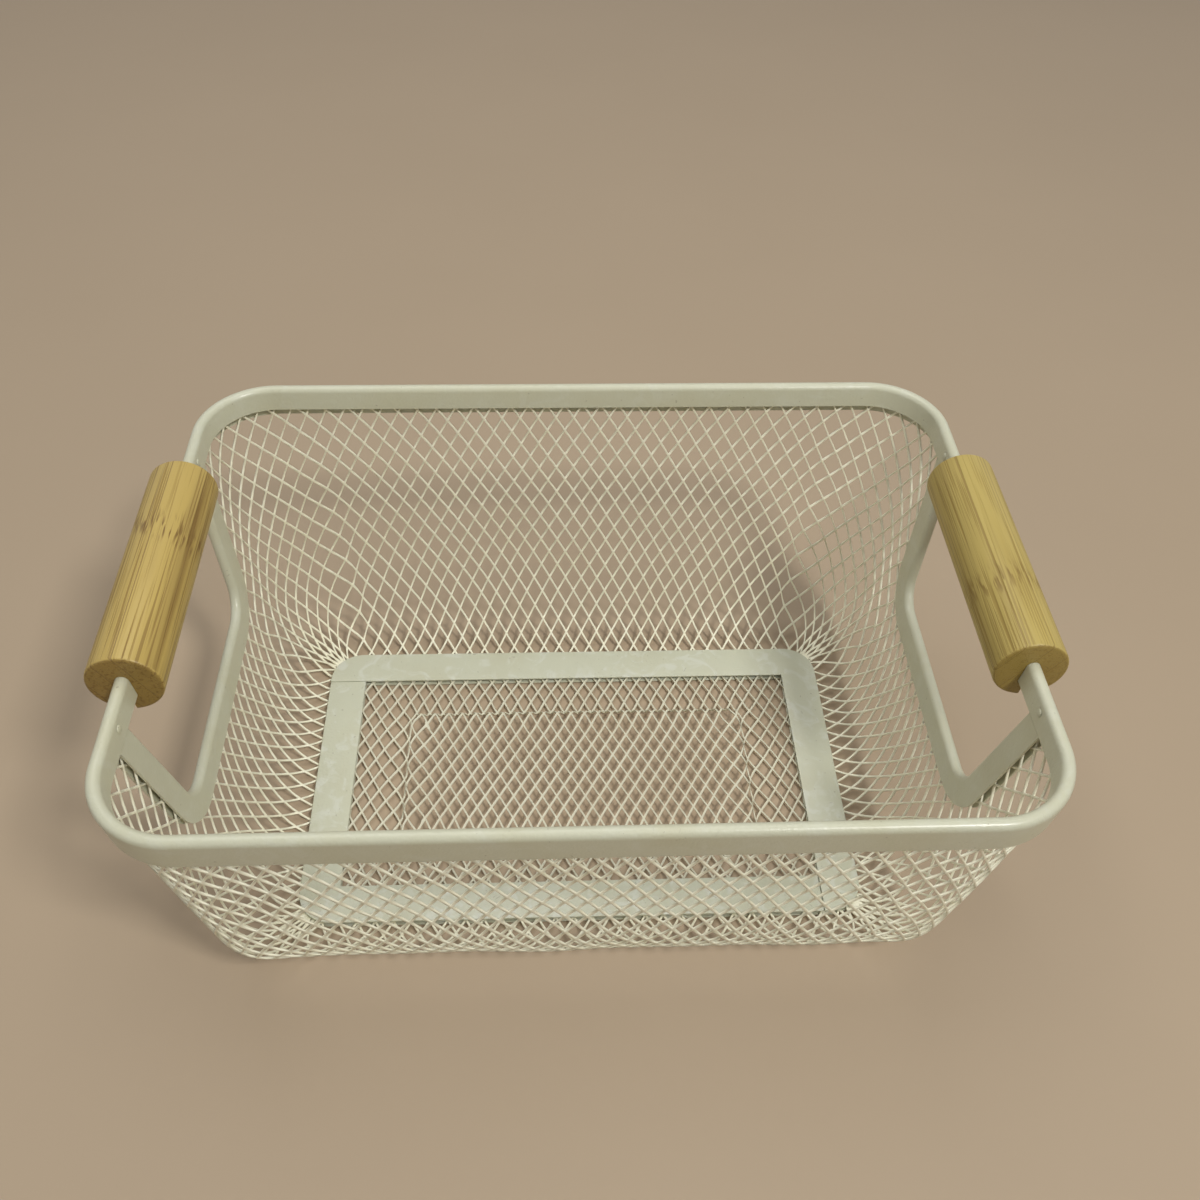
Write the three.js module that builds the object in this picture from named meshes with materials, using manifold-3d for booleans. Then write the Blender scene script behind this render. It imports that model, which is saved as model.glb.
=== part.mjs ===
// Storage basket: walls and base of expanded metal, a folded steel rim and two bamboo grips.
// Millimetres, +Z up. The origin is the middle of the footprint, on the table.
// X runs along the length of the basket, from grip to grip.

import * as THREE from 'three';
import { mergeGeometries, mergeVertices } from 'three/addons/utils/BufferGeometryUtils.js';
import Module from 'manifold-3d';

const wasm = await Module();
wasm.setup();

// Rim: a strip folded over the mesh, its plan measured along the middle of its round top
const RIM_LENGTH = 286;
const RIM_WIDTH = 206.6;
const RIM_CORNER_RADIUS = 26;
const RIM_TOP = 121;
const RIM_THICKNESS = 4.5;
const RIM_OUTER_LEG = 11;
const RIM_INNER_LEG = 7;
const STRIP_SHEET = 0.8;

// Lean of the rim and the walls, and how much more the walls lean at a corner
const WALL_LEAN = THREE.MathUtils.degToRad(7);
const CORNER_LEAN = THREE.MathUtils.degToRad(3);

// Base frame: flat L stampings above and below the mesh
const FRAME_LENGTH = 212;
const FRAME_WIDTH = 130.6;
const FRAME_STRIP = 15.1;
const FRAME_CORNER_RADIUS = 13;
const FRAME_SHEET = 0.9;

// Expanded metal: sheet thickness, strand width and the size of one diamond
const MESH_THICKNESS = 1.1;
const STRAND_WIDTH = 1.9;
const WALL_COLUMN_COUNT = 44;
const WALL_HALF_ROWS = 9;
const BASE_DIAMOND_LENGTH = 21;
const BASE_DIAMOND_WIDTH = 36;

// Wall sleeve: lap under the frame, pull of the bend at its two ends, straight part and how much longer
// it is at a corner, drop inside the rim
const WALL_LAP = 7;
const FOOT_SWEEP = 17;
const BEND_SWEEP = 20;
const WALL_STRAIGHT = 70;
const CORNER_STRAIGHT = 18;
const MESH_TOP_DROP = 1;

// Base panel: lap under the frame and the raised rectangle pressed into it
const PANEL_LAP = 5;
const PANEL_EDGE = 2;
const PRESSING_LENGTH = 146;
const PRESSING_WIDTH = 64;
const PRESSING_HEIGHT = 3;
const PRESSING_SLOPE = 5;

// Cut-out under each handle bar, measured along the middle of the band's round edge
const CUTOUT_TOP_WIDTH = 120;
const CUTOUT_BOTTOM_WIDTH = 96;
const CUTOUT_DEPTH = 65;
const CUTOUT_BEND_RADIUS = 13;
const BAND_THICKNESS = 4.2;
const BAND_LEG = 8.7;
const BAND_MESH_LAP = 7;

// Bamboo grips: dowels slotted from below
const GRIP_DIAMETER = 24.2;
const GRIP_LENGTH = 94;
const GRIP_DROP = 1.6;
const GRIP_SHIFT = 2;
const GRIP_EDGE = 1.2;

// Weld dots that tie the ends of the bands to the rim
const WELD_SPACING = 124;
const WELD_DROP = 2;
const WELD_RADIUS = 1.4;
const WELD_HEIGHT = 0.5;

// Clearances
const SHEET_GAP = 0.3;
const SEAM_GAP = 0.3;
const GRIP_GAP = 0.3;
const COPE_GAP = 0.3;
const WELD_GAP = 0.1;

// Facets
const BEND_STEPS = 8;
const FOLD_STEPS = 6;
const GRIP_SIDES = 32;
const DOT_SIDES = 10;
const WELDING_TOLERANCE = 1e-4;

// Heights that follow from the stack of sheets
const BEAD_HEIGHT = RIM_TOP - RIM_THICKNESS / 2;
const MESH_LOW = FRAME_SHEET + SHEET_GAP;
const MESH_MIDDLE = MESH_LOW + MESH_THICKNESS / 2;
const UPPER_FRAME_LOW = MESH_LOW + MESH_THICKNESS + SHEET_GAP;

const COATED_STEEL = { color: 0xdcdcc6, roughness: 0.42, metalness: 0.1 };
const BAMBOO = { color: 0xc9a75c, roughness: 0.55, metalness: 0 };

const X_AXIS = new THREE.Vector3(1, 0, 0);
const Y_AXIS = new THREE.Vector3(0, 1, 0);
const Z_AXIS = new THREE.Vector3(0, 0, 1);

function part(name, geometry, finish) {
  const mesh = new THREE.Mesh(geometry, new THREE.MeshStandardMaterial(finish));
  mesh.name = name;
  return mesh;
}

// Turns a closed geometry into a solid that can be joined or cut
function solidOf(geometry) {
  const bare = geometry.clone();
  bare.deleteAttribute('normal');
  bare.deleteAttribute('uv');
  const merged = mergeVertices(bare, WELDING_TOLERANCE);
  const vertProperties = Float32Array.from(merged.attributes.position.array);
  const triVerts = Uint32Array.from(merged.index.array);
  return new wasm.Manifold(new wasm.Mesh({ numProp: 3, vertProperties, triVerts }));
}

function geometryOf(solid) {
  const { vertProperties, triVerts } = solid.getMesh();
  return indexedGeometry(vertProperties, triVerts);
}

function indexedGeometry(positions, index) {
  const geometry = new THREE.BufferGeometry();
  geometry.setAttribute('position', new THREE.BufferAttribute(Float32Array.from(positions), 3));
  geometry.setIndex(new THREE.BufferAttribute(Uint32Array.from(index), 1));
  geometry.computeVertexNormals();
  return geometry;
}

// Section of a strip folded back on itself: round edge up, outer leg at +X, inner leg at -X
function foldedSection(thickness, outerLeg, innerLeg, sheet) {
  const outer = thickness / 2;
  const inner = outer - sheet;
  const points = [new THREE.Vector2(outer, -outerLeg)];
  for (let step = 0; step <= FOLD_STEPS; step += 1) {
    const angle = (Math.PI * step) / FOLD_STEPS;
    points.push(new THREE.Vector2(outer * Math.cos(angle), outer * Math.sin(angle)));
  }
  points.push(new THREE.Vector2(-outer, -innerLeg), new THREE.Vector2(-inner, -innerLeg));
  for (let step = FOLD_STEPS; step >= 0; step -= 1) {
    const angle = (Math.PI * step) / FOLD_STEPS;
    points.push(new THREE.Vector2(inner * Math.cos(angle), inner * Math.sin(angle)));
  }
  points.push(new THREE.Vector2(inner, -outerLeg));
  return points;
}

// The room that a folded strip takes up, with a clearance all round and its hollow filled
function foldedEnvelope(thickness, outerLeg, innerLeg, sheet, gap) {
  const filled = foldedSection(thickness + 2 * gap, outerLeg + gap, innerLeg + gap, sheet + 2 * gap);
  const outerFace = filled.slice(0, FOLD_STEPS + 3);
  const innerStep = new THREE.Vector2(outerFace[0].x - sheet - 2 * gap, outerFace.at(-1).y);
  const innerFoot = new THREE.Vector2(innerStep.x, outerFace[0].y);
  return [...outerFace, innerStep, innerFoot];
}

// Carries a closed section along rings of local axes; an open run of rings gets end caps
function sweep(section, rings, closed) {
  const positions = [];
  for (const ring of rings) {
    for (const point of section) {
      const place = ring.origin.clone();
      place.addScaledVector(ring.across, point.x).addScaledVector(ring.up, point.y);
      positions.push(...place.toArray());
    }
  }
  const count = section.length;
  const index = [];
  const spans = closed ? rings.length : rings.length - 1;
  for (let span = 0; span < spans; span += 1) {
    const near = span * count;
    const far = ((span + 1) % rings.length) * count;
    for (let side = 0; side < count; side += 1) {
      const next = (side + 1) % count;
      index.push(near + side, near + next, far + next, near + side, far + next, far + side);
    }
  }
  if (!closed) {
    const last = (rings.length - 1) * count;
    for (const [a, b, c] of THREE.ShapeUtils.triangulateShape(section, [])) {
      index.push(c, b, a, last + a, last + b, last + c);
    }
  }
  return indexedGeometry(positions, index);
}

// Rings round a rounded rectangle, clockwise from above, facing outwards
function loopRings(length, width, radius, height) {
  const rings = [];
  for (let corner = 0; corner < 4; corner += 1) {
    const start = Math.PI / 2 - (corner * Math.PI) / 2;
    const middle = start - Math.PI / 4;
    const centreX = Math.sign(Math.cos(middle)) * (length / 2 - radius);
    const centreY = Math.sign(Math.sin(middle)) * (width / 2 - radius);
    for (let step = 0; step <= BEND_STEPS; step += 1) {
      const angle = start - (Math.PI / 2) * (step / BEND_STEPS);
      const across = new THREE.Vector3(Math.cos(angle), Math.sin(angle), 0);
      const origin = new THREE.Vector3(centreX, centreY, height).addScaledVector(across, radius);
      rings.push({ origin, across, up: Z_AXIS });
    }
  }
  return rings;
}

// Rim: the folded section leans with the wall and closes on itself
function rimGeometry(section) {
  const origin = new THREE.Vector2();
  const leaning = section.map((point) => point.clone().rotateAround(origin, -WALL_LEAN));
  return sweep(leaning, loopRings(RIM_LENGTH, RIM_WIDTH, RIM_CORNER_RADIUS, BEAD_HEIGHT), true);
}

// Wall surface: a column starts under the frame, leaves its edge square and curves up to the rim
function rimPoint(share) {
  const straightX = RIM_LENGTH - 2 * RIM_CORNER_RADIUS;
  const straightY = RIM_WIDTH - 2 * RIM_CORNER_RADIUS;
  const arc = (Math.PI / 2) * RIM_CORNER_RADIUS;
  const runs = [straightX, arc, straightY, arc, straightX, arc, straightY, arc];
  const total = runs.reduce((sum, run) => sum + run, 0);
  let rest = THREE.MathUtils.euclideanModulo(share, 1) * total;
  let angle = -Math.PI / 2;
  const at = new THREE.Vector2(-straightX / 2, -RIM_WIDTH / 2);
  for (let run = 0; run < runs.length; run += 1) {
    const travel = Math.min(rest, runs[run]);
    if (run % 2 === 0) {
      at.x -= travel * Math.sin(angle);
      at.y += travel * Math.cos(angle);
    } else {
      const turned = angle + travel / RIM_CORNER_RADIUS;
      at.x += RIM_CORNER_RADIUS * (Math.cos(turned) - Math.cos(angle));
      at.y += RIM_CORNER_RADIUS * (Math.sin(turned) - Math.sin(angle));
      angle = turned;
    }
    rest -= travel;
    if (rest <= 0) break;
  }
  return at;
}

const columns = new Map();

function wallColumn(share) {
  const key = share.toFixed(9);
  if (!columns.has(key)) {
    const held = rimPoint(share);
    const insideX = FRAME_LENGTH / 2 - FRAME_CORNER_RADIUS;
    const insideY = FRAME_WIDTH / 2 - FRAME_CORNER_RADIUS;
    const foot = new THREE.Vector2(
      THREE.MathUtils.clamp(held.x, -insideX, insideX),
      THREE.MathUtils.clamp(held.y, -insideY, insideY),
    );
    const outward = held.clone().sub(foot).normalize();
    foot.addScaledVector(outward, FRAME_CORNER_RADIUS);
    const reach = held.distanceTo(foot) - MESH_TOP_DROP * Math.sin(WALL_LEAN);
    const rise = BEAD_HEIGHT - MESH_TOP_DROP * Math.cos(WALL_LEAN) - MESH_MIDDLE;
    const top = new THREE.Vector2(reach, rise);
    const corner = (2 * outward.x * outward.y) ** 2;
    const lean = WALL_LEAN + CORNER_LEAN * corner;
    const upwards = new THREE.Vector2(Math.sin(lean), Math.cos(lean));
    const bendEnd = top.clone().addScaledVector(upwards, -(WALL_STRAIGHT + CORNER_STRAIGHT * corner));
    const path = new THREE.CurvePath();
    path.add(new THREE.CubicBezierCurve(
      new THREE.Vector2(0, 0),
      new THREE.Vector2(FOOT_SWEEP, 0),
      bendEnd.clone().addScaledVector(upwards, -BEND_SWEEP),
      bendEnd,
    ));
    path.add(new THREE.LineCurve(bendEnd, top));
    columns.set(key, { foot, outward, path });
  }
  return columns.get(key);
}

// Climb runs from 0 at the frame's edge to 1 at the rim; below 0 it is the flat lap, -1 at its free edge
function wallPoint(share, climb) {
  const { foot, outward, path } = wallColumn(share);
  const flat = new THREE.Vector2(climb * WALL_LAP, 0);
  const level = climb < 0 ? flat : path.getPointAt(Math.min(climb, 1));
  return new THREE.Vector3(
    foot.x + outward.x * level.x,
    foot.y + outward.y * level.x,
    MESH_MIDDLE + level.y,
  );
}

// Outward normal of the wall, from two short steps along the surface
function wallNormal(share, climb) {
  const step = 1e-3;
  const along = wallPoint(share + step, climb).sub(wallPoint(share - step, climb));
  const up = wallPoint(share, climb + step).sub(wallPoint(share, climb - step));
  return along.cross(up).normalize();
}

// Expanded metal closed into a sleeve. Diamond openings lie in staggered rows; each keeps the width
// of the strands around it, so the openings close up where the columns are gathered.
function sleeveGeometry(around, halfRows) {
  const corners = [];
  const wrap = (column) => THREE.MathUtils.euclideanModulo(column, around);
  const openingMiddle = (column, row) => column + 0.5 + 0.5 * (row % 2);
  const addCorner = (column, row) => corners.push([column / around, row / halfRows]) - 1;
  const openings = [];
  for (let row = 0; row <= halfRows; row += 1) {
    openings.push([]);
    for (let column = 0; column < around; column += 1) {
      const middle = openingMiddle(column, row);
      const at = (across, up) => wallPoint((middle + across) / around, (row + up) / halfRows);
      const lowest = row === 0 ? 0 : -1;
      const highest = row === halfRows ? 0 : 1;
      const halfAcross = at(0.5, 0).distanceTo(at(-0.5, 0)) / 2;
      const halfUp = at(0, highest).distanceTo(at(0, lowest)) / (highest - lowest);
      const strand = (STRAND_WIDTH / 2) * Math.hypot(halfAcross, halfUp) / (halfAcross * halfUp);
      const size = 1 - Math.min(strand, 0.8);
      const edge = STRAND_WIDTH / halfUp;
      const side = row === 0 || row === halfRows ? size - edge : size;
      const sideRow = row === 0 ? edge : row === halfRows ? row - edge : row;
      openings[row].push({
        left: addCorner(middle - 0.5 * side, sideRow),
        right: addCorner(middle + 0.5 * side, sideRow),
        low: addCorner(middle, row === 0 ? sideRow : row - size),
        high: addCorner(middle, row === halfRows ? sideRow : row + size),
      });
    }
  }
  const border = { low: [], high: [] };
  for (let half = 0; half < 2 * around; half += 1) {
    border.low.push(addCorner(half / 2, -halfRows));
    border.high.push(addCorner((half + halfRows % 2) / 2, halfRows));
  }

  const count = corners.length;
  const index = [];
  const face = (a, b, c, d) => {
    index.push(a, b, c, a, c, d);
    index.push(count + c, count + b, count + a, count + d, count + c, count + a);
  };
  const rib = (a, b) => index.push(a, b, count + b, a, count + b, count + a);
  for (let row = 0; row <= halfRows; row += 1) {
    const shift = row % 2;
    for (let column = 0; column < around; column += 1) {
      const left = openings[row][wrap(column - 1)];
      const right = openings[row][column];
      const beside = wrap(column - 1 + shift);
      const above = row < halfRows ? openings[row + 1][beside] : null;
      const below = row > 0 ? openings[row - 1][beside] : null;
      const low = below ? below.high : border.low[2 * column];
      const high = above ? above.low : border.high[2 * column];
      face(left.right, low, right.left, high);
      if (above) {
        face(right.left, right.high, above.right, above.low);
        face(above.low, above.left, left.high, left.right);
      }
      const middle = 2 * column + 1;
      const next = 2 * wrap(column + 1);
      if (row === 0) {
        face(low, border.low[middle], right.low, right.left);
        face(border.low[middle], border.low[next], right.right, right.low);
        rib(border.low[middle], low);
        rib(border.low[next], border.low[middle]);
      }
      if (row === halfRows) {
        face(right.left, right.high, border.high[middle], high);
        face(right.high, right.right, border.high[next], border.high[middle]);
        rib(high, border.high[middle]);
        rib(border.high[middle], border.high[next]);
      }
      const outline = [right.left, right.low, right.right, right.high];
      outline.forEach((corner, turn) => rib(corner, outline[(turn + 1) % outline.length]));
    }
  }

  const outside = [];
  const inside = [];
  for (const [share, climb] of corners) {
    const middle = wallPoint(share, climb);
    const offset = wallNormal(share, climb).multiplyScalar(MESH_THICKNESS / 2);
    outside.push(...middle.clone().add(offset).toArray());
    inside.push(...middle.clone().sub(offset).toArray());
  }
  return indexedGeometry([...outside, ...inside], index);
}

// Base panel: a sheet with a raised rectangle pressed into it, pierced by staggered diamonds
function clipToBox(polygon, halfX, halfY) {
  const sides = [
    (point) => halfX - point.x,
    (point) => halfX + point.x,
    (point) => halfY - point.y,
    (point) => halfY + point.y,
  ];
  return sides.reduce((kept, room) => {
    const next = [];
    kept.forEach((point, turn) => {
      const after = kept[(turn + 1) % kept.length];
      const here = room(point);
      const there = room(after);
      if (here >= 0) next.push(point);
      if (here * there < 0) next.push(point.clone().lerp(after, here / (here - there)));
    });
    return next;
  }, polygon);
}

// Solid between two rectangles that lie one above the other
function taperedBlock(low, high) {
  const square = [[-1, -1], [1, -1], [1, 1], [-1, 1]].map(([x, y]) => new THREE.Vector2(x, y));
  const rings = [low, high].map(({ length, width, height }) => ({
    origin: new THREE.Vector3(0, 0, height),
    across: new THREE.Vector3(length / 2, 0, 0),
    up: new THREE.Vector3(0, width / 2, 0),
  }));
  return sweep(square, rings, false);
}

function pressingBlock(height) {
  const length = PRESSING_LENGTH;
  const width = PRESSING_WIDTH;
  const taper = 2 * PRESSING_SLOPE;
  const low = { length, width, height };
  const high = { length: length - taper, width: width - taper, height: height + PRESSING_HEIGHT };
  return solidOf(taperedBlock(low, high));
}

function panelDiamonds(halfX, halfY) {
  const halfAcross = BASE_DIAMOND_LENGTH / 2;
  const halfUp = BASE_DIAMOND_WIDTH / 2;
  const size = 1 - (STRAND_WIDTH / 2) * Math.hypot(halfAcross, halfUp) / (halfAcross * halfUp);
  const columnsEachWay = Math.ceil(halfX / halfAcross);
  const rowsEachWay = Math.ceil(halfY / halfUp);
  const leastOpening = STRAND_WIDTH * STRAND_WIDTH;
  const openings = [];
  for (let row = -rowsEachWay; row <= rowsEachWay; row += 1) {
    for (let column = -columnsEachWay; column <= columnsEachWay; column += 1) {
      if ((row + column) % 2 !== 0) continue;
      const diamond = [[1, 0], [0, 1], [-1, 0], [0, -1]].map(([across, up]) => new THREE.Vector2(
        (column + across * size) * halfAcross,
        (row + up * size) * halfUp,
      ));
      const opening = clipToBox(diamond, halfX, halfY);
      if (opening.length >= 3 && THREE.ShapeUtils.area(opening) > leastOpening) openings.push(opening);
    }
  }
  return openings;
}

function panelGeometry() {
  const length = FRAME_LENGTH - 2 * (FRAME_STRIP - PANEL_LAP);
  const width = FRAME_WIDTH - 2 * (FRAME_STRIP - PANEL_LAP);
  const top = MESH_LOW + MESH_THICKNESS;
  const flat = taperedBlock({ length, width, height: MESH_LOW }, { length, width, height: top });
  const sheet = solidOf(flat).add(pressingBlock(top)).subtract(pressingBlock(MESH_LOW));
  const below = { origin: new THREE.Vector3(0, 0, 0), across: X_AXIS, up: Y_AXIS };
  const above = { origin: new THREE.Vector3(0, 0, 2 * top + PRESSING_HEIGHT), across: X_AXIS, up: Y_AXIS };
  const openings = panelDiamonds(length / 2 - PANEL_EDGE, width / 2 - PANEL_EDGE);
  const prisms = openings.map((opening) => sweep(opening, [below, above], false));
  return geometryOf(sheet.subtract(solidOf(mergeGeometries(prisms))));
}

// Base frame stampings. The back and right strips are one piece and own three round corners.
function backRightShape() {
  const x = FRAME_LENGTH / 2;
  const y = FRAME_WIDTH / 2;
  const r = FRAME_CORNER_RADIUS;
  const shape = new THREE.Shape();
  shape.moveTo(-x, y - FRAME_STRIP);
  shape.lineTo(-x + FRAME_STRIP, y - FRAME_STRIP);
  shape.lineTo(x - FRAME_STRIP, y - FRAME_STRIP);
  shape.lineTo(x - FRAME_STRIP, -y);
  shape.lineTo(x - r, -y);
  shape.absarc(x - r, -y + r, r, -Math.PI / 2, 0);
  shape.absarc(x - r, y - r, r, 0, Math.PI / 2);
  shape.absarc(-x + r, y - r, r, Math.PI / 2, Math.PI);
  return shape;
}

function frontLeftShape() {
  const x = FRAME_LENGTH / 2;
  const y = FRAME_WIDTH / 2;
  const r = FRAME_CORNER_RADIUS;
  const endX = x - FRAME_STRIP - SEAM_GAP;
  const endY = y - FRAME_STRIP - SEAM_GAP;
  const shape = new THREE.Shape();
  shape.absarc(-x + r, -y + r, r, Math.PI, 1.5 * Math.PI);
  shape.lineTo(endX, -y);
  shape.lineTo(endX, -y + FRAME_STRIP);
  shape.lineTo(-x + FRAME_STRIP, -y + FRAME_STRIP);
  shape.lineTo(-x + FRAME_STRIP, endY);
  shape.lineTo(-x, endY);
  return shape;
}

function stamping(shape) {
  const curveSegments = BEND_STEPS / 2;
  return new THREE.ExtrudeGeometry(shape, { depth: FRAME_SHEET, bevelEnabled: false, curveSegments });
}

// Run of a cut-out edge in the plane of the end wall, from the +X end down, across and up again.
// It is moved towards the mesh by inset; the ends run past the rim by beyond.
function cutoutRun(inset, beyond) {
  const bottom = CUTOUT_BOTTOM_WIDTH / 2;
  const flare = (CUTOUT_TOP_WIDTH / 2 - bottom) / CUTOUT_DEPTH;
  const topX = CUTOUT_TOP_WIDTH / 2 + flare * beyond;
  const slope = Math.atan(flare);
  const turn = Math.PI / 2 - slope;
  const setBack = CUTOUT_BEND_RADIUS * Math.tan(turn / 2);
  const centreX = bottom - setBack;
  const centreY = -CUTOUT_DEPTH + CUTOUT_BEND_RADIUS;
  const points = [];
  const add = (x, y, facing) => {
    const up = new THREE.Vector3(-Math.cos(facing), -Math.sin(facing), 0);
    points.push({ origin: new THREE.Vector3(x, y, 0).addScaledVector(up, -inset), across: Z_AXIS, up });
  };
  const bend = (side, from, to) => {
    for (let step = 0; step <= BEND_STEPS; step += 1) {
      const angle = THREE.MathUtils.lerp(from, to, step / BEND_STEPS);
      const x = side * centreX + CUTOUT_BEND_RADIUS * Math.cos(angle);
      add(x, centreY + CUTOUT_BEND_RADIUS * Math.sin(angle), angle);
    }
  };
  add(topX, beyond, -slope);
  bend(1, -slope, -Math.PI / 2);
  bend(-1, -Math.PI / 2, -Math.PI + slope);
  add(-topX, beyond, -Math.PI + slope);
  return points;
}

// Places a piece that was drawn in the plane of the right end wall
function endFrame() {
  const along = new THREE.Vector3(0, 1, 0);
  const up = new THREE.Vector3(Math.sin(WALL_LEAN), 0, Math.cos(WALL_LEAN));
  const out = along.clone().cross(up);
  return new THREE.Matrix4().makeBasis(along, up, out).setPosition(RIM_LENGTH / 2, 0, BEAD_HEIGHT);
}

function halfTurn(side) {
  return new THREE.Matrix4().makeRotationZ(side === 'right' ? 0 : Math.PI);
}

// Everything that the cut-out takes away from the sleeve, drawn in the end wall's plane
function cutoutTool() {
  const inset = BAND_LEG - BAND_MESH_LAP;
  const run = cutoutRun(inset, RIM_THICKNESS);
  const outline = new THREE.Shape(run.map(({ origin }) => new THREE.Vector2(origin.x, origin.y)).reverse());
  const reach = RIM_CORNER_RADIUS;
  const geometry = new THREE.ExtrudeGeometry(outline, { depth: 2 * reach, bevelEnabled: false });
  return geometry.translate(0, 0, -reach);
}

function sleeve() {
  let solid = solidOf(sleeveGeometry(WALL_COLUMN_COUNT, WALL_HALF_ROWS));
  for (const side of ['right', 'left']) {
    const tool = cutoutTool().applyMatrix4(endFrame()).applyMatrix4(halfTurn(side));
    solid = solid.subtract(solidOf(tool));
  }
  return geometryOf(solid);
}

// Band along the cut-out, coped where it meets the rim
function cutoutBand() {
  const section = foldedSection(BAND_THICKNESS, BAND_LEG, BAND_LEG, STRIP_SHEET);
  const band = sweep(section, cutoutRun(0, 0), false).applyMatrix4(endFrame());
  const envelope = foldedEnvelope(RIM_THICKNESS, RIM_OUTER_LEG, RIM_INNER_LEG, STRIP_SHEET, COPE_GAP);
  const coped = solidOf(band).subtract(solidOf(rimGeometry(envelope)));
  return geometryOf(coped).applyMatrix4(endFrame().invert());
}

// Dowel turned with eased ends, then slotted from below to just past its middle
function grip() {
  const radius = GRIP_DIAMETER / 2;
  const end = GRIP_LENGTH / 2;
  const profile = [
    new THREE.Vector2(0, -end),
    new THREE.Vector2(radius - GRIP_EDGE, -end),
    new THREE.Vector2(radius - 0.3 * GRIP_EDGE, -end + 0.3 * GRIP_EDGE),
    new THREE.Vector2(radius, -end + GRIP_EDGE),
    new THREE.Vector2(radius, end - GRIP_EDGE),
    new THREE.Vector2(radius - 0.3 * GRIP_EDGE, end - 0.3 * GRIP_EDGE),
    new THREE.Vector2(radius - GRIP_EDGE, end),
    new THREE.Vector2(0, end),
  ];
  const dowel = new THREE.LatheGeometry(profile, GRIP_SIDES).rotateZ(-Math.PI / 2);
  const halfSlot = RIM_THICKNESS / 2 + GRIP_GAP;
  const slot = new THREE.Shape();
  slot.moveTo(-halfSlot, -GRIP_DIAMETER);
  slot.lineTo(halfSlot, -GRIP_DIAMETER);
  slot.absarc(0, GRIP_DROP, halfSlot, 0, Math.PI);
  const run = GRIP_LENGTH + 2 * GRIP_EDGE;
  const cut = { depth: run, bevelEnabled: false, curveSegments: BEND_STEPS };
  const tool = new THREE.ExtrudeGeometry(slot, cut);
  tool.translate(0, 0, -run / 2).rotateY(Math.PI / 2);
  return geometryOf(solidOf(dowel).subtract(solidOf(tool)));
}

// Low round dot of weld, its flat side towards the rim
function weldDot() {
  const profile = [
    new THREE.Vector2(0, 0),
    new THREE.Vector2(WELD_RADIUS, 0),
    new THREE.Vector2(0.6 * WELD_RADIUS, 0.8 * WELD_HEIGHT),
    new THREE.Vector2(0, WELD_HEIGHT),
  ];
  return new THREE.LatheGeometry(profile, DOT_SIDES).rotateX(-Math.PI / 2);
}

function handleEnd(side) {
  const end = new THREE.Group();
  end.applyMatrix4(endFrame());
  end.add(part(`${side}_cutout_band`, cutoutBand(), COATED_STEEL));

  const held = part(`${side}_grip`, grip(), BAMBOO);
  held.position.set(side === 'right' ? GRIP_SHIFT : -GRIP_SHIFT, -GRIP_DROP, 0);
  end.add(held);

  const near = side === 'right' ? 'front' : 'back';
  const far = side === 'right' ? 'back' : 'front';
  for (const [place, sign] of [[near, -1], [far, 1]]) {
    const dot = part(`${side}_${place}_weld`, weldDot(), COATED_STEEL);
    dot.position.set((sign * WELD_SPACING) / 2, -WELD_DROP, -RIM_THICKNESS / 2 - WELD_GAP);
    end.add(dot);
  }
  const turned = new THREE.Group();
  turned.applyMatrix4(halfTurn(side));
  turned.add(end);
  return turned;
}

function frames() {
  const group = new THREE.Group();
  for (const [level, height] of [['lower', 0], ['upper', UPPER_FRAME_LOW]]) {
    const backRight = part(`${level}_frame_back_right`, stamping(backRightShape()), COATED_STEEL);
    const frontLeft = part(`${level}_frame_front_left`, stamping(frontLeftShape()), COATED_STEEL);
    for (const piece of [backRight, frontLeft]) {
      piece.position.z = height;
      group.add(piece);
    }
  }
  return group;
}

const rimSection = foldedSection(RIM_THICKNESS, RIM_OUTER_LEG, RIM_INNER_LEG, STRIP_SHEET);

const basket = new THREE.Group();
basket.add(part('rim_band', rimGeometry(rimSection), COATED_STEEL));
basket.add(part('wall_mesh', sleeve(), COATED_STEEL));
basket.add(part('base_mesh', panelGeometry(), COATED_STEEL));
basket.add(frames());
for (const side of ['left', 'right']) basket.add(handleEnd(side));

export default basket;
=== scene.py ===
# %% [markdown]
# # A mesh storage basket with bamboo grips
# The basket is made of expanded metal: a sheet that was slit and stretched until it opened into
# diamonds. A folded strip hides its cut edge at the top, flat frames clamp it at the bottom, and two
# bamboo dowels sit on the handle bars. The solids of the part are loaded first, as a frame that
# nothing here may move. Every piece below is then worked out in the same millimetres.

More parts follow.
